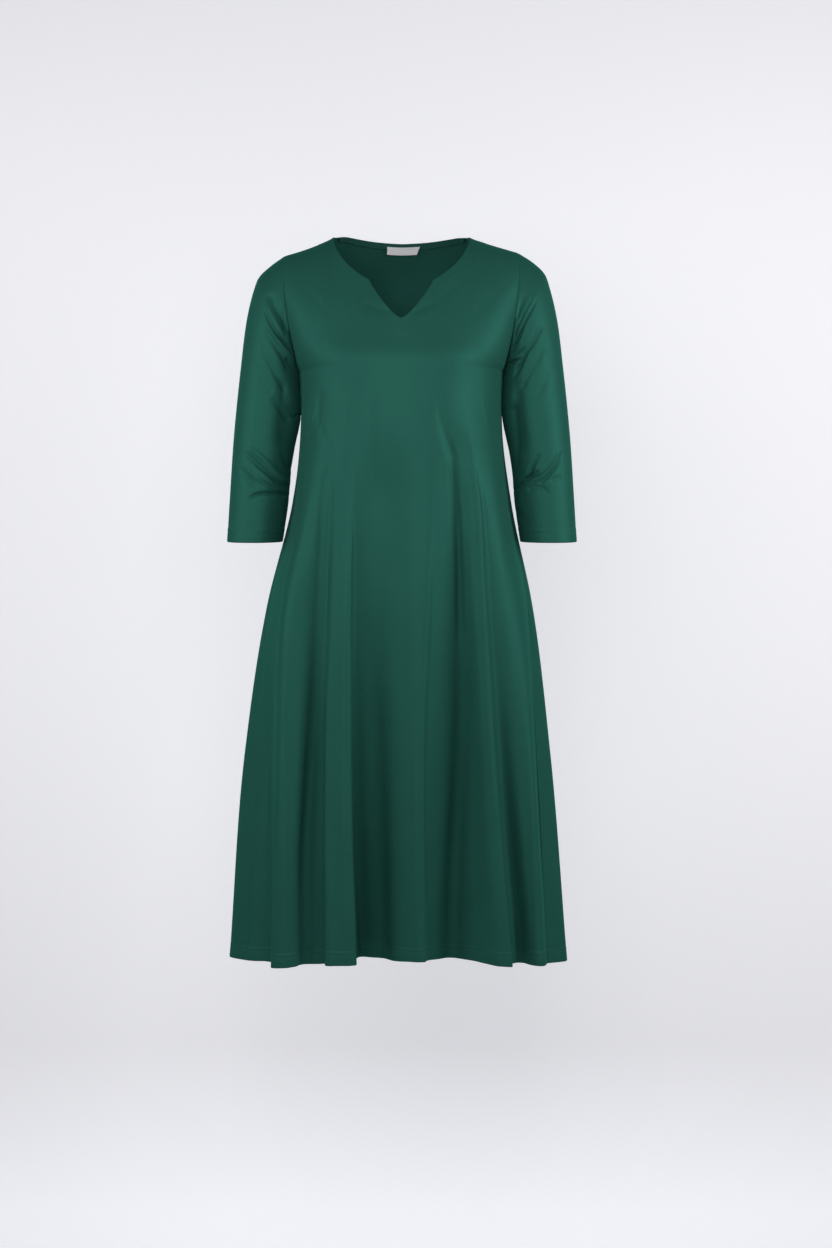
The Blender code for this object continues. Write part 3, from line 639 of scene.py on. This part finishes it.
def threads(name, legs, ups):
    """Short tubes of thread, each through four points, and the way off the cloth at each."""
    ahead = np.broadcast_to(legs[:, -1:] - legs[:, :1], ups.shape)
    aside = np.cross(ups, ahead)
    aside /= length(aside)
    turns = 2 * math.pi * np.arange(THREAD_SIDES)[:, None] / THREAD_SIDES
    ring = (ups[:, :, None] * np.cos(turns) + aside[:, :, None] * np.sin(turns)) * THREAD
    points = legs[:, :, None] + ring
    index = np.arange(points.size // 3).reshape(points.shape[:3])
    wide = np.concatenate((index, index[..., :1]), 2)
    sides = np.stack((wide[:, :-1, :-1], wide[:, 1:, :-1], wide[:, 1:, 1:], wide[:, :-1, 1:]), -1)
    faces = sides.reshape(-1, 4).tolist() + index[:, 0].tolist() + index[:, -1, ::-1].tolist()
    mesh = bpy.data.meshes.new(name)
    mesh.from_pydata(points.reshape(-1, 3).tolist(), [], faces)
    mesh.shade_smooth()
    return bpy.data.objects.new(name, mesh)


def hem_stitches(name, outer, normal, wall, closed=False):
    """Both rows of a twin needle on the face of a hem, and the zigzag between them inside."""
    legs, ups, inside = [], [], []
    for height in STITCH_ROWS:
        k = len(outer) - len(HEM_ROWS) + int(np.argmin(np.abs(HEM_ROWS - height)))
        line, up, thick = [np.concatenate((v[k], v[k][:1])) if closed else v[k]
                           for v in (outer, normal, wall[..., None])]
        points, way = stitch_row(line, up)
        legs.append(points)
        ups.append(way)
        line = line - up * (thick + ZIGZAG_OFF)
        inside.append((line, up, along(line) / along(line)[-1]))
    count = min(len(points) for points in legs)
    for first, second, shift in ((0, 1, 0.0), (1, 0, 0.5)):
        starts, ends = [(np.arange(count) + 0.25 + shift + step) / (count + 0.5)
                        for step in (0.0, 0.5)]
        (line, up, run), (far_line, _, far_run) = inside[first], inside[second]
        begin, end = on_line(starts, run, line), on_line(ends, far_run, far_line)
        legs.append(begin[:, None] + (end - begin)[:, None] * STITCH_PARTS[:, None])
        ups.append(np.broadcast_to(-on_line(starts, run, up)[:, None], legs[-1].shape))
    return threads(name, np.concatenate(legs), np.concatenate(ups))


thread = Finish("sewing thread", Base_Color=(0.026, 0.120, 0.094, 1.0), Roughness=0.5,
                Specular_IOR_Level=0.3).material
onto_dress(front_panel, knit, "front_panel", "front_panel")
front_stitches = hem_stitches("dress_front_stitches", front_outer, front_normal, front_wall)
onto_dress(front_stitches, thread, "front_panel")

# ============================================================ the back panel
# The back is cut like the front with a high round neck, and joined to it along the shoulders and
# sides. The side seams sit a little forward, so the back's cloth forms the outline of the skirt,
# and its flare falls in rounder, more even folds.
BACK_FOLDS = (
    ("side seam r", *((x, -depth) for x, depth in SIDE_SEAM_R)),
    ("side turn r", (-165, 6), (-202, 2), (-237, -3), (-259, -8)),
    ("side back r", (-161, 32), (-194, 34), (-228, 30), (-251, 28)),
    ("valley r", (-145, 62), (-172, 72), (-194, 70), (-211, 62)),
    ("fold p", (-120, 80), (-143, 98), (-167, 112), (-186, 126)),
    ("valley q", (-88, 88), (-101, 101), (-114, 99), (-124, 92)),
    ("fold r", (-58, 92), (-64, 111), (-72, 129), (-78, 150)),
    ("valley s", (-21, 92), (-23, 106), (-26, 105), (-27, 100)),
    ("fold t", (18, 92), (21, 112), (24, 131), (27, 153)),
    ("valley u", (55, 91), (62, 104), (70, 103), (76, 97)),
    ("fold v", (88, 87), (101, 105), (117, 121), (132, 139)),
    ("valley w", (118, 78), (137, 90), (155, 88), (168, 78)),
    ("fold x", (143, 61), (163, 76), (184, 86), (203, 94)),
    ("side back l", (161, 32), (187, 38), (213, 38), (238, 36)),
    ("side turn l", (166, 6), (197, 3), (225, -2), (250, -5)),
    ("side seam l", *((x, -depth) for x, depth in SIDE_SEAM_L)),
)
BACK_NECK_DEPTH = 0.071


def behind_back_neckline(point):
    """True where a point of the back lies behind its neckline, half an ellipse."""
    x = np.abs(point[:, 0]) / NECK_POINT[0]
    return (x >= 1) | (point[:, 1] > NECK_POINT[1] + BACK_NECK_DEPTH * np.sqrt(
        np.maximum(0, 1 - x * x)))


BACK_CREASES = (
    ("between the shoulder blades", ((-70, -90, 0.6), (0, -118, 1.6), (66, -96, 0.6)), 18, 18),
    ("from the right armhole", ((-146, -96, -0.5), (-122, -122, -1.3), (-92, -150, -0.5)), 6, 7),
    ("from the left armhole", ((145, -104, -0.5), (120, -132, -1.4), (88, -158, -0.5)), 7, 6),
    ("hollow of the back", ((-96, -330, -0.8), (-30, -352, -2), (44, -350, -2), (104, -326, -0.8)),
        20, 24),
    ("streak, right", ((-84, -250, -0.5), (-88, -320, -1.4), (-92, -400, -1.2), (-98, -470, -0.5)),
        8, 8),
    ("streak, left", ((70, -240, -0.5), (66, -310, -1.3), (62, -400, -1.5), (60, -480, -0.5)),
        9, 8),
    ("ridge", ((10, -260, 0.4), (14, -340, 1.2), (18, -430, 1), (20, -500, 0.4)), 7, 7),
)


def back_extra(place):
    return creases(place, BACK_CREASES)


back = Panel(BACK_FOLDS, 1, 2.6, np.array(((0, 0.95, 0.27), (0, 1.32, 0.42))),
             ((CHEST_Z, UNDERARM_X, 0.1010), (BUST_Z, 0.1515, 0.0960)), behind_back_neckline)
back_shares = back.columns(200, (NECK_SHARE, 0.5, 1 - NECK_SHARE), EDGE_COLUMNS)
back_grid = back.grid(back_shares, UPPER, LOWER, HEM_ROWS)
back_outer, back_wall, back_normal, back_across, back_down = finish_panel(
    back, back_grid, back_shares, back_extra)
back_panel = sewn("dress_back", back_outer, back_wall, back_normal)
back_panel.data.flip_normals()
lay_out(back_panel, wrapped(back_across), wrapped(back_down))
onto_dress(back_panel, knit, "back_panel", "back_panel")
back_stitches = hem_stitches("dress_back_stitches", back_outer, back_normal, back_wall)
onto_dress(back_stitches, thread, "back_panel")

# ============================================================ the sleeves
# Each sleeve is one piece of the same knit, sewn into a tube and set into the armhole. It bends a
# little at the elbow, where the cloth creases, and pulls soft folds out of the underarm.
SLEEVE_SECTIONS = (
    ("armhole", 0.1760, -0.0262, 0.0022, 0.1545, -0.2050, 0.053, 0.060, -0.003),
    ("cap", 0.1975, -0.0440, 0.0050, 0.1553, -0.2085, 0.054, 0.060, -0.003),
    ("cap side", 0.2145, -0.0605, 0.0045, 0.1549, -0.2130, 0.055, 0.059, -0.004),
    ("cap end", 0.2220, -0.0780, 0.0020, 0.1544, -0.2190, 0.055, 0.057, -0.004),
    ("upper arm", 0.2332, -0.1240, 0.0, 0.1530, -0.2380, 0.053, 0.054, -0.005),
    ("biceps", 0.2427, -0.2000, 0.0, 0.1515, -0.2680, 0.050, 0.051, -0.006),
    ("elbow", 0.2526, -0.3000, 0.0, 0.1650, -0.3400, 0.047, 0.048, -0.008),
    ("forearm", 0.2580, -0.3850, 0.0, 0.1710, -0.4050, 0.045, 0.046, -0.011),
    ("cuff", 0.2622, -0.4590, 0.0, 0.1790, -0.4590, 0.043, 0.044, -0.014),
)
SLEEVE_RINGS = (10, 10, 12, 24, 40, 56, 48, 34)
SLEEVE_ROUND = (60, 108)           # columns round its back and round its front
LEFT_SLEEVE_FULLNESS = 0.0015
PRESSED_Z, PRESSED_HALF = -0.231, 0.029     # where the sleeve's inner side lies against the body
PRESS = 1.0 * MM                            # and how far it is filled out there
CREASE_FREE = 7 * MM                        # strip beside the armhole where the creases fade
UNDERARM_ROLL = 0.7                         # share of the seams' roll along the sleeve's own seam
CUFF_DIP = 0.0035
# Each line runs towards the underarm or the elbow's inside, where the cloth bunches.
RIGHT_FRONT_CREASES = (
    ("deep line to the underarm", ((-207, -110, -0.6), (-203, -119, -1.4), (-195, -137, -2.4),
        (-185, -153, -3.3), (-175, -164, -4.2), (-167, -174, -4.5), (-162, -179, -4.5),
        (-156, -188, -4.8), (-152, -204, -3.6)), 2.4, 2.9),
    ("its lower ridge", ((-203, -127, 0.9), (-195, -146, 1.5), (-186, -159, 2), (-175, -172, 2.4),
        (-165, -184, 2.7), (-156, -193, 2.4)), 2.6, 3.2),
    ("its upper ridge", ((-201, -108, 0.8), (-192, -125, 1.4), (-184, -140, 1.5),
        (-173, -157, 1.4)), 3, 3),
    ("wide hollow under the cap", ((-200, -88, -1), (-194, -98, -3), (-185, -117, -3.4),
        (-175, -132, -3.8), (-171, -142, -3.4), (-168, -151, -2.4)), 6, 6.5),
    ("second line", ((-205, -140, -0.9), (-197, -155, -1.8), (-186, -172, -2.7),
        (-175, -189, -3.3), (-167, -206, -3.3), (-161, -219, -3)), 4, 5),
    ("pinch at the underarm", ((-172, -187, -2.2), (-167, -194, -4.8), (-163, -200, -4.8),
        (-154, -212, -4.8)), 2, 2.4),
    ("third line", ((-212, -163, -0.8), (-205, -178, -1.5), (-195, -197, -2.2), (-184, -217, -2.7),
        (-175, -231, -2.7), (-169, -244, -2.2)), 4.5, 5),
    ("fourth line", ((-195, -247, -0.9), (-182, -262, -1.8), (-171, -275, -2.4),
        (-163, -283, -2.4)), 4, 5),
    ("outer line", ((-216, -197, -0.8), (-203, -225, -1.7), (-192, -242, -1.4)), 7, 7),
    ("inner hollow", ((-163, -204, -1), (-164, -222, -2.4), (-165, -243, -2.2),
        (-165, -262, -0.8)), 4, 4),
    ("small pinch", ((-164, -269, -0.9), (-158, -274, -2.7), (-151, -267, -2.4)), 1.8, 2),
    ("crest over the elbow", ((-231, -318, 0.8), (-222, -324, 1.8), (-201, -343, 2.8),
        (-180, -364, 3.3), (-166, -375, 3.3)), 3.6, 4.4),
    ("elbow line", ((-236, -328, -0.9), (-224, -337, -2.5), (-212, -349, -3.8), (-201, -358, -4.3),
        (-190, -367, -4.7), (-180, -375, -4.8), (-167, -382, -4.8)), 2.8, 3.4),
    ("inner hollow over the elbow", ((-179, -325, -0.9), (-173, -340, -2.1), (-166, -355, -2.2)),
        4.5, 4.5),
    ("crest under the elbow line", ((-233, -349, 0.9), (-220, -362, 2.1), (-207, -373, 2.7),
        (-195, -381, 3), (-173, -385, 2.7)), 2.4, 2.8),
    ("inner side falls away", ((-170, -215, -1.5), (-171, -250, -4), (-173, -300, -4.5),
        (-176, -330, -2)), 14, 14),
    ("thin line beside it", ((-222, -357, -1), (-212, -371, -1.7), (-201, -381, -1.2)), 1.8, 1.8),
    ("outer elbow hollow", ((-241, -349, -1), (-233, -362, -2), (-222, -374, -2.1),
        (-214, -382, -1.5)), 4, 4),
    ("short line under the elbow", ((-230, -402, -1.5), (-218, -393, -3.3), (-207, -390, -4.2),
        (-190, -390, -4.2), (-173, -391, -3.6), (-167, -392, -3)), 2, 2.4),
)
LEFT_FRONT_CREASES = (
    ("deep line to the underarm", ((204, -96, -0.6), (197, -110, -1.8), (191, -121, -2.7),
        (182, -138, -3.4), (176, -153, -4.1), (169, -168, -4.7), (162, -182, -4.5)), 2.6, 2.2),
    ("line above it", ((197, -94, -0.6), (191, -106, -1.5), (185, -117, -2.1), (178, -132, -2.4),
        (171, -146, -2.7), (167, -163, -2.4)), 2.2, 2.2),
    ("hollow under the cap", ((187, -88, -0.6), (180, -104, -1.8), (175, -117, -2.5),
        (169, -133, -2.4)), 5.5, 5),
    ("thin line", ((202, -141, -0.9), (193, -159, -2), (184, -172, -2.4), (176, -178, -2.4),
        (164, -184, -2.1)), 1.9, 1.9),
    ("crest over the long line", ((204, -140, 0.6), (196, -155, 1.4), (188, -168, 1.7),
        (180, -181, 1.8)), 2.4, 2.4),
    ("long line", ((215, -133, -0.8), (203, -153, -2.1), (195, -168, -3), (186, -180, -3.8),
        (178, -197, -4.5), (171, -210, -4.8), (162, -226, -4.5)), 4.2, 3),
    ("rim of the pinch", ((175, -185, 1.2), (167, -188, 2.5), (157, -192, 2.5)), 1.7, 1.7),
    ("pinch at the underarm", ((178, -188, -2.4), (167, -192, -4.8), (158, -197, -4.8)), 2, 2.2),
    ("inner hollow", ((162, -204, -1), (165, -222, -2.6), (167, -254, -2.8), (168, -280, -2.6),
        (171, -318, -2.4), (172, -355, -2.2), (166, -382, -1.5)), 5, 5),
    ("outer line", ((222, -158, -0.6), (210, -176, -1.5), (199, -197, -2.1), (186, -219, -2.2),
        (178, -239, -1.5)), 5, 4.5),
    ("short outer line", ((222, -209, -0.8), (205, -236, -1.7), (200, -251, -1.2)), 6, 6),
    ("inner side falls away", ((168, -215, -1.5), (170, -250, -3.5), (173, -300, -4),
        (176, -335, -2)), 12, 12),
    ("upper elbow line", ((208, -330, -1), (195, -349, -3), (191, -362, -3.6), (181, -372, -2.7)),
        3.4, 3.2),
    ("elbow line", ((208, -356, -1.5), (191, -363, -3.9), (180, -373, -4.8), (168, -385, -4.5)),
        2.6, 2.8),
    ("crest across the elbow", ((238, -322, 0.9), (229, -343, 2.1), (220, -354, 2.7),
        (208, -365, 3.2), (191, -372, 3.3), (175, -382, 3)), 2.6, 2.6),
    ("line under the crest", ((241, -325, -1), (232, -346, -2.4), (222, -359, -3.2),
        (212, -370, -3.2), (201, -376, -2.1)), 2, 2.2),
    ("hollow under the elbow", ((186, -385, -1), (201, -380, -2.1), (210, -382, -2),
        (222, -394, -1)), 3.6, 3.6),
    ("outer elbow line", ((221, -372, -0.9), (230, -368, -1.5), (240, -366, -1)), 3.6, 3.6),
    ("faint line over the cuff", ((172, -410, -0.9), (179, -422, -1.5), (186, -433, -0.9)),
        3.5, 3.5),
)
RIGHT_BACK_CREASES = (
    ("line to the underarm", ((-212, -118, -0.5), (-196, -146, -1.6), (-179, -176, -2.4),
        (-158, -206, -2.4)), 3, 3.6),
    ("line below it", ((-214, -170, -0.5), (-198, -200, -1.4), (-180, -228, -1.8),
        (-160, -250, -1.5)), 4.5, 5),
    ("hollow under the cap", ((-196, -98, -0.5), (-183, -122, -1.8), (-170, -150, -1.6)), 6, 6),
    ("over the elbow", ((-236, -322, -0.6), (-212, -338, -1.6), (-176, -350, -1.2)), 5, 5),
    ("under the elbow", ((-240, -372, -0.5), (-216, -384, -1.4), (-182, -388, -1.2)), 5, 4),
)
LEFT_BACK_CREASES = (
    ("line to the underarm", ((216, -126, -0.5), (198, -152, -1.8), (180, -184, -2.4),
        (160, -214, -2.2)), 3.6, 3),
    ("line above it", ((202, -100, -0.5), (188, -124, -1.5), (172, -158, -1.7)), 5, 5),
    ("line below it", ((222, -196, -0.5), (204, -226, -1.4), (184, -252, -1.6), (166, -270, -1.2)),
        5, 5),
    ("over the elbow", ((236, -334, -0.5), (210, -350, -1.5), (178, -356, -1.3)), 5, 5),
    ("under the elbow", ((232, -388, -0.5), (206, -394, -1.3), (180, -404, -0.8)), 5, 4),
)


def sleeve_grid(side):
    """Rings of points from the armhole to the cuff. They start inside, at the seam, and go round
    by the back: angle 0 is the outer side, a quarter turn the front."""
    angle = math.pi * (1 + np.concatenate([k + np.arange(count) / count
                                           for k, count in enumerate(SLEEVE_ROUND)]))
    sine, cosine = np.sin(angle), np.cos(angle)
    power = 2 / 2.15
    sections = []
    for _, outer_x, outer_z, lift, inner_x, inner_z, fore, aft, middle in SLEEVE_SECTIONS:
        fullness = LEFT_SLEEVE_FULLNESS if side > 0 and outer_x > SHOULDER_TIP[0] else 0.0
        outer = np.array(((outer_x + fullness) * side, middle, outer_z + lift * (side > 0)))
        inner = np.array((inner_x * side, middle, inner_z))
        swing = np.copysign(np.abs(cosine) ** power, cosine)[:, None]
        ring = (outer + inner) / 2 + (outer - inner) / 2 * swing
        ring[:, 1] += np.where(sine > 0, -fore, aft) * np.abs(sine) ** power
        sections.append(ring)
    turn = angle % (2 * math.pi)
    part = np.where(turn <= math.pi, turn, 2 * math.pi - turn)[:, None] / math.pi
    sections[0] = np.where(sine[:, None] > 0, armhole(side, -1, part), armhole(side, 1, part))
    sections[-1][:, 2] -= CUFF_DIP * sine
    rings = []
    points = np.array(sections)
    for index, count in enumerate(SLEEVE_RINGS):
        parts = np.arange(count) / count
        if index == len(SLEEVE_RINGS) - 1:
            fall = points[-1, 0, 2] - points[-2, 0, 2]
            parts = np.concatenate((parts[parts < 1 + HEM_ROWS[0] * 1.2 / fall],
                                    1 + HEM_ROWS / fall))
        for part in parts:
            rings.append(through(points, index, part))
    return np.array(rings)


def make_sleeve(name, side, front_table, back_table, slot):
    """One sleeve: its seams rolled in, its creases, its turned cuff and the cuff's stitches."""
    grid = sleeve_grid(side)
    turn = -side
    normal = outward(grid, closed=True) * turn
    place = grid[..., [0, 2]]
    top = down_from_top(grid)
    hem, wall = turned_hem(top[-1:] - top)
    around, back_to_seam = edge_distance(np.concatenate((grid, grid[:, :1]), 1))
    under = np.minimum(around, back_to_seam)[:, :-1]
    forward = smooth(0.5 - 1.4 * normal[..., 1])
    pressed = (np.exp(-((place[..., 1] - PRESSED_Z) / PRESSED_HALF) ** 8)
               * smooth(-2.5 * side * normal[..., 0] - 0.9))
    folds = creases(place, front_table) * forward + creases(place, back_table) * (1 - forward)
    armhole_seam = ARMHOLE_ROLL * np.exp(-(top / SEAM_SOFT) ** 2)
    under_seam = UNDERARM_ROLL * np.exp(-(under / SEAM_SOFT) ** 2) * (1 - pressed)
    height = (folds * (1 - 0.9 * pressed) * smooth(top / CREASE_FREE) + PRESS * pressed
              - SEAM_ROLL * np.maximum(armhole_seam, under_seam) + hem)
    outer = grid + normal * height[..., None]
    face = outward(outer, closed=True) * turn
    piece = sewn(name, outer, wall, face, closed=True)
    if side > 0:
        piece.data.flip_normals()
    lay_out(piece, wrapped(around[:, :-1]), wrapped(top))
    onto_dress(piece, knit, slot, slot)
    stitches = hem_stitches(name + "_stitches", outer, face, wall, closed=True)
    onto_dress(stitches, thread, slot)


make_sleeve("dress_sleeve_right", -1, RIGHT_FRONT_CREASES, RIGHT_BACK_CREASES, "sleeve_right")
make_sleeve("dress_sleeve_left", 1, LEFT_FRONT_CREASES, LEFT_BACK_CREASES, "sleeve_left")

# ============================================================ the back neck tape
# A folded band of the same knit, dull side out, lies inside the back neckline from one shoulder
# to the other. It covers the neck seam, stands a little above it and is stitched down below.
TAPE_END, TAPE_TOP, TAPE_SHARE = 0.0957, -0.004, 0.052
TAPE_WALL, TAPE_OFF, TAPE_WIDTH = 1.0 * MM, 1.8 * MM, 11 * MM
TAPE_ROWS, TAPE_STITCHED = 23, 19  # rows of points, and the one that is stitched down
# The tape's two greens are lighter than the dress's knit: painted light that makes up for the dim
# light inside the neck.
TAPE_GREEN_PAINTED_LIGHT, TAPE_DEEP_PAINTED_LIGHT = (0.030, 0.124, 0.097), (0.022, 0.100, 0.078)


def inside_back(share, down, off):
    """A grid just inside the back panel's upper part, off its face, and the way out of it."""
    start = back.neck_part(share)
    grid = np.array([back.cover(share, start + (1 - start) * part) for part in down])
    normal = outward(grid) * -back.facing
    return grid - normal * np.broadcast_to(off, grid.shape[:2])[..., None], normal


tape_end = (1 - TAPE_END / SHOULDER_TIP[0]) / 2
tape_shares = np.linspace(tape_end, 1 - tape_end, 181)
tape_downs = np.linspace(TAPE_TOP, TAPE_SHARE, TAPE_ROWS)
tape_outer, tape_normal = inside_back(tape_shares, tape_downs, TAPE_OFF)
tape_down = np.linspace(0, 1, TAPE_ROWS)[:, None]
tape_wall = TAPE_WALL * (1 - 0.35 * np.exp(-((tape_down - 0.86) / 0.05) ** 2)
                         - 0.2 * np.exp(-((tape_down - 0.16) / 0.05) ** 2))
neck_tape = sewn("neck_tape", tape_outer, tape_wall, tape_normal)
neck_tape.data.flip_normals()
tape_across, _ = edge_distance(tape_outer)
lay_out(neck_tape, wrapped(tape_across),
        wrapped(np.broadcast_to(tape_down * TAPE_WIDTH, tape_across.shape)))
dull_knit_painted_light = knit_finish("dull side of the knit with painted light", TAPE_GREEN_PAINTED_LIGHT, TAPE_DEEP_PAINTED_LIGHT, 0.60, 0.10)
onto_dress(neck_tape, dull_knit_painted_light, "back_neck_tape", "back_neck_tape")
tape_way = tape_normal[TAPE_STITCHED]
tape_face = tape_outer[TAPE_STITCHED] - tape_way * (tape_wall[TAPE_STITCHED] + 0.02 * MM)
tape_stitches = threads("neck_tape_stitches", *stitch_row(tape_face, -tape_way))
onto_dress(tape_stitches, thread, "back_neck_tape")

# ============================================================ the label
# A blank woven label, silver grey, is sewn down over the middle of the tape by its two ends. Its
# end on the wearer's left is turned under askew, and its lower edge stands off a little.
LABEL_LEFT, LABEL_RIGHT, LABEL_SLANT = -0.0227, 0.0283, 0.0050
LABEL_DROP, LABEL_HEIGHT = 0.0055, 0.0145
# The label's grey is lighter than its own silver grey: painted light that makes up for the shade
# inside the neck.
LABEL_GREY_PAINTED_LIGHT = (0.92, 0.92, 0.94)
LABEL_WALL, LABEL_OFF, LABEL_STAND = 0.6 * MM, 3.4 * MM, 0.9 * MM
middle = np.array((0.5,))
neck_to_chest = float(length(back.stations(middle)[0]
                             - back.cover(middle, back.neck_part(middle)))[0, 0])
label_ends = [float(back.share_at(x)) for x in (LABEL_LEFT, LABEL_RIGHT, LABEL_RIGHT - LABEL_SLANT)]
label_downs = np.linspace(0, 1, 15)
label_rows = []
for down in label_downs:
    part = (LABEL_DROP + LABEL_HEIGHT * down) / neck_to_chest
    right_end = label_ends[1] + (label_ends[2] - label_ends[1]) * down
    share = np.linspace(label_ends[0], right_end, 61)
    row, way_out = inside_back(share, (part - 0.001, part, part + 0.001),
                               LABEL_OFF + LABEL_STAND * down ** 2)
    label_rows.append((row[1], way_out[1]))
label_outer = np.array([row for row, _ in label_rows])
label_normal = np.array([way_out for _, way_out in label_rows])
label_left, label_right = edge_distance(label_outer)
label_turn = np.exp(-(np.minimum(label_left, label_right) / (2.4 * MM)) ** 4)
label_wall = LABEL_WALL * (0.75 + 0.35 * label_turn)      # thicker where the ends are turned under
neck_label = sewn("neck_label_piece", label_outer, label_wall, label_normal)
neck_label.data.flip_normals()
lay_out(neck_label, wrapped(label_left),
        wrapped(np.broadcast_to(LABEL_HEIGHT * label_downs[:, None], label_left.shape)))
satin = Finish("woven label", Roughness=0.42, Base_Color=(*LABEL_GREY_PAINTED_LIGHT, 1.0), Sheen_Weight=0.1)
onto_dress(neck_label, satin.material, "neck_label", "neck_label")

# ============================================================ floor, lights and camera
# A pale paper sweep stands behind and under the dress, which hangs clear of it. Two soft lights
# stand in front and one at either side. The paper's own glow is only seen: it lights no cloth.
backdrop = bpy.data.meshes.new("backdrop")
FLOOR_Z, WALL_Y, SWEEP_RADIUS = -1.85, 0.65, 0.12
profile = [(-6.0, FLOOR_Z), (WALL_Y - SWEEP_RADIUS, FLOOR_Z)]
profile += [(WALL_Y - SWEEP_RADIUS * (1 - math.sin(t)), FLOOR_Z + SWEEP_RADIUS * (1 - math.cos(t)))
            for t in np.linspace(0, math.pi / 2, 24)[1:]]
profile += [(WALL_Y, 5.0)]
count = len(profile)
backdrop.from_pydata([(x, y, z) for x in (-7.0, 7.0) for y, z in profile], [],
                     [(k, k + count, k + count + 1, k + 1) for k in range(count - 1)])
backdrop.shade_smooth()
sweep = bpy.data.objects.new("backdrop", backdrop)
bpy.context.collection.objects.link(sweep)
pale = Finish("pale paper", Base_Color=(0.80, 0.79, 0.82, 1.0), Roughness=0.9,
              Emission_Strength=0.35)
spot = pale.add('ShaderNodeNewGeometry')
height = pale.value(pale.add('ShaderNodeSeparateXYZ', None, {0: spot.outputs["Position"]}), 2)
# Painted light: the glow grows towards the floor, from 1.35 m below the shoulders to 1.65 m.
foot = height.math('MINIMUM', height.math('MAXIMUM', height * -3.3 - 4.45, 0.0), 1.0)
seen = pale.value(pale.add('ShaderNodeLightPath'), "Is Camera Ray")
glow = pale.mix(seen * (foot * 0.34 + 0.66), (0.0, 0.0, 0.0, 1.0), (1.40, 1.43, 1.50, 1.0))
# Seen from behind the paper is clear, so that it hides nothing.
pale.feed(pale.shader, {"Alpha": 1.0 - pale.value(spot, "Backfacing"), "Emission Color": glow})
backdrop.materials.append(pale.material)


WAIST_POINT = Vector((0, 0, -0.45))     # where all lights are aimed
for side, place, power in (
        ("front", (-0.64, -1.58, 0.02), 5.2),
        ("middle", (0, -1.70, 0.0), 8.4),
        ("left", (-1.50, -0.80, -0.07), 11.2),
        ("right", (1.50, -0.80, -0.02), 17.0)):
    lamp = bpy.data.lights.new(side + " light", 'AREA')
    lamp.shape, lamp.size, lamp.size_y, lamp.energy = 'RECTANGLE', 0.7, 1.0, power
    stand = bpy.data.objects.new(side + " light", lamp)
    stand.visible_camera = False
    stand.location = place
    stand.rotation_euler = (WAIST_POINT - Vector(place)).to_track_quat('-Z', 'Y').to_euler()
    bpy.context.collection.objects.link(stand)

# The world is bright where it is looked at and gives the dress only a little light.
world = bpy.data.worlds.new("studio")
world.use_nodes = True
surround = world.node_tree.nodes["Background"]
surround.inputs["Color"].default_value = (0.93, 0.95, 1.0, 1.0)
strength = world.node_tree.nodes.new('ShaderNodeMath')
strength.operation = 'MULTIPLY_ADD'
strength.inputs[1].default_value, strength.inputs[2].default_value = 0.80, 0.02
ray = world.node_tree.nodes.new('ShaderNodeLightPath').outputs["Is Camera Ray"]
world.node_tree.links.new(ray, strength.inputs[0])
world.node_tree.links.new(strength.outputs[0], surround.inputs["Strength"])
bpy.context.scene.world = world
bpy.context.scene.view_settings.view_transform = 'Standard'

CAMERA_AWAY, VIEW_HEIGHT, FILM = 3.2, 1248 * 0.001513, 36      # metres, metres, millimetres
camera = bpy.data.objects.new("camera", bpy.data.cameras.new("camera"))
camera.location = (0.0219, -CAMERA_AWAY, -0.584)
camera.rotation_euler = Euler((math.pi / 2, 0, 0))
camera.data.lens = FILM * CAMERA_AWAY / VIEW_HEIGHT
camera.data.sensor_width = FILM
bpy.context.collection.objects.link(camera)
bpy.context.scene.camera = camera
